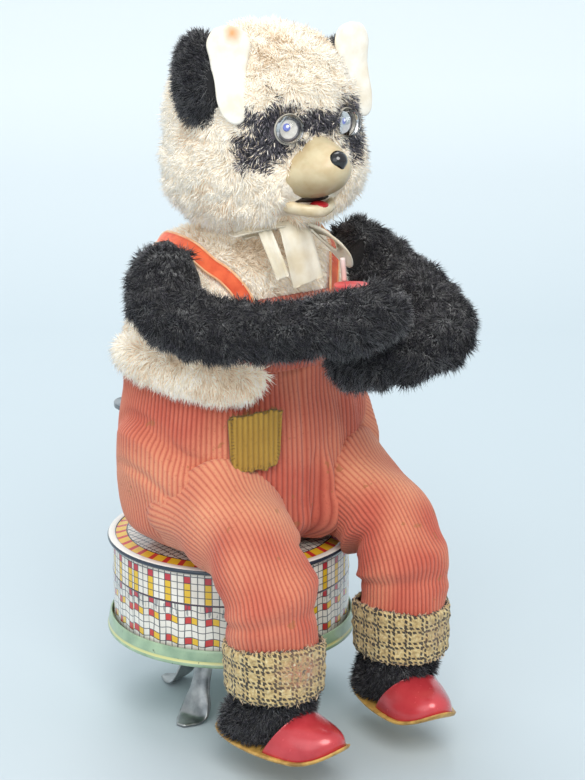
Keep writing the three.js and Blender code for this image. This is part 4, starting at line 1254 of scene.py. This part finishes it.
# ---- head -------------------------------------------------------------------------------------------
def head_radius(d):
    """Distance of the skin from the head's middle along unit directions: round above, with full jowls."""
    ellipsoid = 1 / np.sqrt((d[..., 0] / 31.3) ** 2 + (d[..., 1] / 28.2) ** 2 + (d[..., 2] / 28.3) ** 2)
    jowl = 0.25 * smoothstep(0.1, 0.72, -d[..., 2]) - 0.1 * smoothstep(0.86, 1.0, -d[..., 2])
    return ellipsoid * (1 + jowl)


def patch_share(p):
    """1 in the dark patches round the eyes and the band between them, 0 in the cream."""
    u, z = np.abs(p[:, 0]), p[:, 2]
    front = smoothstep(-25, -31, p[:, 1])
    ragged = 0.22 * wave_field(p, 6, 9)
    eye = 1.25 - np.hypot((u - 14.0) / 8.4, (z - 210) / 7.8)
    trail = 1.2 - np.hypot((u - 18.0) / 6.4, (z - 203.0) / 6.4)
    band = 1.2 - np.hypot(u / 13, (z - 210.6) / 3.8)
    return np.clip(2.4 * (np.maximum(np.maximum(eye, trail), band) + ragged), 0, 1) * front


def head():
    rng = np.random.default_rng(SEED + 3)
    rows, sides = 90, 140
    tilt = np.linspace(0.03, np.pi - 0.03, rows)[:, None]
    turn = circle(sides)[None, :]
    d = np.stack([np.sin(tilt) * np.cos(turn), np.sin(tilt) * np.sin(turn), np.cos(tilt) + 0 * turn], -1)
    rings = d * head_radius(d)[..., None] + HEAD
    rings = rings + d * (0.6 * wave_field(rings, 15, 12) + 0.25 * wave_field(rings, 5, 13))[..., None]
    shape = loft(rings)
    dark = patch_share(shape[0])
    quads = shape[1][0]
    index = np.concatenate([(dark[quads].mean(1) > 0.6).astype(int), np.zeros(2 * sides, int)])
    made = piece("head_skin", shape, "head", ("cream_base", "dark_base"), ["head_plush"],
                 index=index)

    points, normals = scatter(shape, 5.9, rng)
    out = unit(points - HEAD)
    u, height = np.abs(points[:, 0]), points[:, 2]
    muzzle_half = np.interp(height, [179, 184, 190, 200, 206.5], [9.5, 12.6, 13.2, 9.5, 3])
    on_muzzle = (points[:, 1] < -38) & (u < muzzle_half) & (height > 180) & (height < 206)
    on_eye = (points[:, 1] < -36) & (np.hypot(u - EYE["x"], height - EYE["z"]) < EYE["radius"] + 0.1)
    ear_way = np.hypot((u - 24.8) / 6.6, (height - 225.4) / 15.0)
    on_ear = (points[:, 1] < -26) & (ear_way < 0.72)
    under = out[:, 2] < -0.93
    keep = ~(on_muzzle | on_eye | on_ear | under)
    points, normals, out, ear_way = points[keep], normals[keep], out[keep], ear_way[keep]
    u, height = u[keep], height[keep]
    dark = patch_share(points)
    near_face = smoothstep(17, 7, np.hypot(u - 8, height - 203)) * (points[:, 1] < -36)
    near_ear = smoothstep(1.4, 1.0, ear_way) * (points[:, 1] < -24)
    comb = np.stack([0.5 * np.sign(points[:, 0]) * near_face, 0.35 + 0 * out[:, 1], -0.5 + 0 * out[:, 2]], -1)
    ways = tufts(points, normals, comb, 0.5, 8, 0.55, 90, rng)
    lengths = rng.uniform(2.8, 4.8, len(points))
    lengths = lengths * (1 - 0.45 * near_face) * (1 - 0.1 * dark) * (1 - 0.5 * near_ear)
    lengths += 0.8 * smoothstep(-0.35, -0.75, out[:, 2])
    root, tip = cream_shades(points, 14, rng)
    # tips browner in broad patches, and far more often low on the head, below 180 mm
    brown_tinted = wave_field(points, 16, 31) + 1.8 * smoothstep(180, 174, height)
    brown_tinted = brown_tinted + rng.normal(scale=0.3, size=len(points)) > 1.5
    tip = np.where(brown_tinted, shade_pick(rng, len(tip), [TAN, BROWN, BEIGE], [3, 0.6, 3]), tip)
    deep = np.hypot(u - EYE["x"], height - EYE["z"]) < 7.5
    middle = (u < 6) & (points[:, 1] < -38)
    chance = dark * np.where(deep | middle, 0.97, 0.84)
    blackened = rng.random(len(points)) < chance
    grey = shade_pick(rng, len(tip), [INK, BLACK, CHARCOAL, ASH, SMOKE], [2, 2, 3, 4, 2])
    edge = shade_pick(rng, len(tip), [SMOKE, BEIGE, IVORY], [3, 2, 1])
    tip = np.where(blackened, grey, np.where(dark > 0.3, edge, tip))
    root = np.where(blackened, shade_pick(rng, len(root), [BLACK, CHARCOAL, ASH], [2, 2, 1]), root)
    right, upper = points[:, 0] < 0, height >= HEAD[2]
    parts = [("head_hair_upper_right", right & upper), ("head_hair_lower_right", right & ~upper),
             ("head_hair_upper_left", ~right & upper), ("head_hair_lower_left", ~right & ~upper)]
    coat(parts, points, ways, lengths, 0.19, (root, tip), "head", rng)


def muzzle():
    """Upper snout, lower lip, the dark of the mouth and a red tongue."""
    sides = 72
    turn = circle(sides)
    start = -36

    def snout(length, width, high, low, middle, fall, rows, cheek):
        rings = []
        for s in np.linspace(0, 0.999, rows):
            end = np.sqrt(max(0.0, 1 - s ** fall))
            up = np.sin(turn)
            z = middle + 1.4 * s + np.where(up > 0, high, low) * up * end
            half = width + cheek * (1 - s) ** 2 * smoothstep(0.4, -0.4, up)
            x = half * end * squared(turn, 0.92, 1)[0]
            pinch = 1 - 0.42 * smoothstep(0.0, 1, up) * (1 - 0.6 * s)
            rings.append(np.stack([x * pinch, np.full(sides, start - length * s), z], -1))
        return loft(np.array(rings))

    upper = snout(24.0, 11.8, 11.4, 10.6, 195.2, 2.2, 40, 5.5)
    piece("snout", upper, "head", "vinyl", ["muzzle"])
    # the lower lip: a scooped rim that hangs below the snout
    rings = []
    for grow, z in ((-3.5, 181.6), (-1.2, 180.6), (0.2, 181.6), (0.7, 183.0), (0.4, 184.2), (-0.5, 184.7),
                    (-1.5, 184.3), (-3, 183.2), (-6, 182.8)):
        a, b = 9.8 + grow, 13.8 + grow
        rings.append(np.stack([a * np.cos(turn), -37 + b * np.sin(turn) * np.where(np.sin(turn) < 0, 1, 0.2),
                               z + 1.3 * np.abs(np.cos(turn)) ** 2 + 0 * turn], -1))
    piece("lower_lip", loft(np.array(rings)), "head", "lip")
    piece("mouth_inside", snout(12.0, 8.6, 2.2, 2.0, 185.2, 4, 16, 0.0), "head", "mouth")
    piece("tongue", ball((0.2, -48.2, 184.2), (3.0, 3.2, 1.3), 14, 24), "head", "tongue")


def nose():
    """A black button, narrower below."""
    rings = []
    sides = 48
    turn = circle(sides)
    for s in np.linspace(0, 0.998, 18):
        end = math.sqrt(1 - s ** 2)
        up = np.sin(turn)
        drop = 1 + 0.28 * np.maximum(0, -up) ** 3
        narrow = 1 - 0.22 * smoothstep(0.1, 1, -up)
        x, z = 3.25 * end * np.cos(turn) * narrow, 3.2 * end * up * drop
        rings.append(np.stack([x, np.full(sides, 1.2 - 3.6 * s), z], -1))
    piece("nose_tip", loft(np.array(rings) + NOSE), "head", "nose", ["nose"])


def eye(side, word):
    """A clear dome over a pale disc with a blue dot, held by a thin ring."""
    r = EYE["radius"]
    sides = 56
    turn = circle(sides)

    def part(name, profile, material, replaces=(), shift=(0, 0), ring=False):
        """A body turned about the eye's own axis from (radius, depth) points."""
        rings = []
        for radius, depth in profile:
            x, z = radius * np.cos(turn) + shift[0], radius * np.sin(turn) + shift[1]
            rings.append(np.stack([x, np.full(sides, depth), z], -1))
        placed = spun(np.array(rings), side * 0.25) + np.array([side * EYE["x"], EYE["y"], EYE["z"]])
        piece(f"eye_{name}_{word}", loft(placed, ring_closed=ring), "head", material, replaces)

    dome = [(r * math.sin(t), 0.9 - 4.4 * math.cos(t)) for t in np.linspace(0.03, math.pi / 2, 18)]
    dome += [(r, 1.3), (r - 0.3, 1.6), (0.1, 1.6)]
    part("dome", dome, "glass", [f"eye_{word}"])
    part("disc", [(0.1, 1.9), (r - 1.3, 1.85), (r - 0.5, 1.75), (r - 0.5, 2.9), (0.1, 2.9)], "socket")
    part("ring", [(r - 0.4, 1.7), (r + 0.1, 1.4), (r + 0.3, 0.9), (r + 0.45, 1.6), (r + 0.1, 2.7), (r - 0.4, 2.7)],
         "eye_ring", ring=True)
    # painted shade: a dark ring just inside the rim stands for the dome's refraction at its edge
    part("shade", [(r - 1.5, 1.72), (r - 1.1, 1.62), (r - 0.7, 1.66), (r - 0.5, 1.8), (r - 1.5, 1.84)],
         "eye_shade", ring=True)
    part("dot", [(0.05, 1.55), (1.0, 1.6), (1.25, 1.75), (1.25, 1.86), (0.05, 1.86)], "pupil", (), (-0.7, 0.6))
    # a painted glint: a small white spot under the dome that stands for a highlight on the eye
    part("spark", [(0.05, 1.4), (0.35, 1.42), (0.5, 1.5), (0.5, 1.6), (0.05, 1.6)], "spark", (), (-0.5, 0.9))


def ear(side, word):
    """A smooth pale felt tongue in front of a black plush lobe."""
    rng = np.random.default_rng(SEED + 50 + side)
    outline = [(0, 15.0), (4.8, 13.7), (7.3, 9.6), (6.6, 4.6), (5.5, -1.5), (5.0, -8), (3.4, -12.7), (0, -14.6),
               (-3.6, -12.7), (-5.4, -8), (-5.4, -1.5), (-6.4, 4.6), (-7.5, 9.6), (-5.0, 13.8)]
    sides = 96
    closed = curve([*outline, outline[0]], sides + 1)[:-1]
    rings = []
    for inward, depth in ((0.55, 1.0), (0.94, 1.0), (1.0, 0.55), (1.0, 0.0), (0.95, -0.5), (0.75, -0.8),
                          (0.4, -0.95), (0.1, -1.0)):
        rings.append(np.column_stack([closed[:, 0] * inward, np.full(sides, depth), closed[:, 1] * inward]))
    rings = np.array(rings)
    # the tongue follows the side of the head, its lower end and its inner edge forward
    rings[..., 1] += 0.3 * np.minimum(rings[..., 2] - 2, 0) + 0.05 * np.maximum(rings[..., 2], 0)
    rings[..., 1] += 0.12 * side * rings[..., 0]
    rings = spun(rings, math.radians(side * 3), 0, 2)
    rings = rings + np.array([side * 24.8, -35.0, 225.4 - 0.9 * (1 + side)])
    piece(f"ear_felt_{word}", loft(rings), "head", "felt", [f"ear_lining_{word}"])
    if side == RIGHT:
        lobe = ball((-29.3, -25.5, 223.5), (5.6, 8.2, 13.6), 30, 44)
    else:
        lobe = ball((25.5, -25.5, 221), (5.6, 7.4, 10.5), 30, 44)
    piece(f"ear_skin_{word}", lobe, "head", "black_base", [f"ear_back_{word}"])
    points, normals = scatter(lobe, 6.4, rng)
    keep = (points[:, 1] > -33) & (np.linalg.norm((points - HEAD) / [31, 28, 28], axis=1) > 0.98)
    points, normals = points[keep], normals[keep]
    upward = 0.3 * np.sign(points[:, 2] - 222)
    comb = np.stack([0.2 * side + 0 * upward, 0.35 + 0 * upward, upward], -1)
    ways = tufts(points, normals, comb, 0.7, 5, 0.45, 100, rng)
    ways[:, 1] = np.maximum(ways[:, 1], -0.25 + 0.3 * (points[:, 1] < -31))
    shades = black_shades(len(points), rng)
    lengths = rng.uniform(2.4, 4.2, len(points))
    coat([(f"ear_hair_{word}", ALL)], points, unit(ways), lengths, 0.15, shades, "head", rng)


# ---- ribbon and block -------------------------------------------------------------------------------
def ribbon(line, widths, facing, crease):
    """A band along a line: a thin closed strip, creased lengthwise."""
    thickness = 0.5
    along = heading(line)
    across = unit(np.cross(along, facing))
    out = np.cross(across, along)
    u = np.linspace(-1, 1, 13)
    half = (np.broadcast_to(widths, len(line)) / 2)[:, None, None]
    ripple = crease * np.cos(u * np.pi * 1.5)[None, :, None] * out[:, None]
    band = line[:, None] + across[:, None] * u[None, :, None] * half + ripple
    stand = out[:, None] * thickness / 2
    return loft(np.concatenate([band + stand, (band - stand)[:, ::-1]], 1))


def bow():
    """A ribbon bow under the chin: a wide and a narrow tail, an open loop at the left and one behind."""
    wide = curve([(-3.4, -36.5, 178), (-3.0, -40.4, 174), (-2.2, -42.0, 168.5), (-1.4, -43.2, 163),
                  (-0.6, -44.0, 158.6)], 40)
    narrow = curve([(-12.0, -34.5, 178), (-12.6, -38.0, 174), (-11.6, -40.0, 169), (-10.4, -41.4, 164.5),
                    (-9.6, -42.2, 161)], 36)
    loop = curve([(3, -38.6, 176), (8, -42.8, 173.0), (12.6, -44.2, 169.2), (14.6, -42.4, 166.2),
                  (13.6, -39.6, 166.6), (9.5, -38.0, 170.4), (4, -37.0, 175.6)], 60)
    behind = curve([(-3, -35, 177), (-9, -36, 177.6), (-15, -33, 176.5), (-17, -29, 174), (-13, -30.5, 174.5),
                    (-6, -33.5, 175.5)], 60)
    flare = np.interp(np.linspace(0, 1, len(wide)), [0, 0.3, 1], [8.5, 11.6, 12.4])
    swell = np.interp(np.linspace(0, 1, len(loop)), [0, 0.4, 0.6, 1], [0, 2, 2, 0])
    strips = [
        ribbon(wide, flare, (0.0, -1.0, 0.15), 0.45),
        ribbon(narrow, 4.4, (-0.4, -1, 0.1), 0.35),
        ribbon(loop, 9 + swell, (0.9, -0.35, 0.5), 0.3),
        ribbon(behind, 5 + swell, (-0.1, -0.3, 1.0), 0.4),
    ]
    made = piece("bow", merged(*strips), "root", "satin", ["neck_bow"])
    piece("bow_knot", ball((-0.5, -36.8, 174.2), (3.6, 2.6, 2.6), 20, 32), "root", "satin")


def red_block():
    """A small red moulding with a painted highlight paling its top rim, on the left forearm, and a pale upright
    slip behind it.
    """
    sides = 64
    turn = circle(sides)
    long, wide = 5.4, 3.8

    def rounded_bar(*levels):
        """A bar with soft corners, from the (growth, height) of each of its levels."""
        x, y = squared(turn, 0.75, 0.85)
        rings = [np.stack([x * (long + grow), y * (wide + grow), np.full(sides, z)], -1) for grow, z in levels]
        return loft(spun(rings, math.radians(-40)) + np.array([2.5, -62, 0]))

    body = rounded_bar((-2.6, 154.2), (-1.0, 154.6), (-0.4, 155.6), (-0.1, 157.2), (0, 159.0), (0.1, 160.2))
    piece("red_moulding", body, "arm_left", "red", ["red_block"])
    # painted highlight: the top rim is coloured a paler red where light catches it
    rim = rounded_bar((0.2, 160.2), (0.35, 160.5), (0.25, 161.0), (-0.3, 161.2), (-2.5, 161.1), (-3.5, 161.0))
    piece("red_moulding_rim", rim, "arm_left", "red_top")
    stem = tube(curve([(2.5, -62, 147), (2.5, -62, 156.5)], 8), 1.6, 16)
    piece("red_moulding_stem", loft(stem), "arm_left", "red")
    outline = ((-0.7, -0.5), (0, -0.7), (0.7, -0.5), (0.7, 0.5), (0, 0.65), (-0.7, 0.5))
    slip = np.array([[(x, y, z) for x, y in outline] for z in np.linspace(161.4, 168.8, 12)])
    lean = (slip[..., 2:3] - 161) * np.array([-0.08, 0.03, 0])
    slip = slip + np.array([2.4, -58.2, 0]) + lean
    piece("pale_slip", loft(slip), "arm_left", "pale", ["red_block_fin"])


# ---- clockwork --------------------------------------------------------------------------------------
def clockwork():
    """The design's own metal pieces keep their shapes and get their finishes."""
    finish = {
        "brass": ("mainspring_barrel", "click", "second_wheel", "crank_wheel"),
        "steel": ("stool_bolt", "frame_plate_front", "frame_plate_back", "winding_key", "mainspring",
                  "ratchet_arbor", "crank_disc", "neck_bracket", "head_bracket", "arm_lever_right",
                  "arm_lever_left", "arm_link_right", "arm_link_left", "leg_wire_right", "leg_wire_left"),
        "tin": ("body_shell_front", "body_shell_back", "governor_fan"),
        "vinyl": ("head_shell",),
    }
    for material, names in finish.items():
        for name in names:
            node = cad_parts[name]
            node.data.materials.clear()
            node.data.materials.append(MATERIALS[material])


def floor():
    """A pale sweep: flat floor that curves up behind, with painted shading from darker in front to lighter behind.
    """
    reach, rise, bend = 3.0, 2.2, 0.9
    rows = [(-reach, 0)]
    rows += [(1.1 + bend * math.sin(a), bend - bend * math.cos(a)) for a in np.linspace(0, math.pi / 2, 24)]
    rows += [(1.1 + bend, rise)]
    turn = math.radians(-37.8)
    verts = spun([(x, y, z) for y, z in rows for x in (-reach, reach)], turn)
    faces = [(2 * i, 2 * i + 1, 2 * i + 3, 2 * i + 2) for i in range(len(rows) - 1)]
    mesh = bpy.data.meshes.new("sweep")
    mesh.from_pydata(verts.tolist(), [], faces)
    for face in mesh.polygons:
        face.use_smooth = True
    p = Paint("paper", "c6d0d5", 0.9)
    far = p.add(p.times(p.axis("X"), -math.sin(turn)), p.times(p.axis("Y"), math.cos(turn)))
    # painted shading: the paper lightens with distance behind the toy and is darker near it
    p.colour(p.ramp(p.divide(far, 1800.0), (0.05, "bac6cc"), (0.3, "c2ced4"), (0.75, "eaf2f5")))
    mesh.materials.append(p.material)
    made = bpy.data.objects.new("sweep", mesh)
    bpy.context.scene.collection.objects.link(made)


# ---- everything -------------------------------------------------------------------------------------
camera()
lights()
floor()
stool()
dungaree_body()
chest()
waist_tuft()
bib()
belly_patch()
head()
muzzle()
nose()
bow()
red_block()
clockwork()
for side, word in SIDES:
    trouser_leg(side, word)
    suspender(side, word)
    cuff(side, word)
    shoe(side, word)
    ankle(side, word)
    arm(side, word)
    eye(side, word)
    ear(side, word)
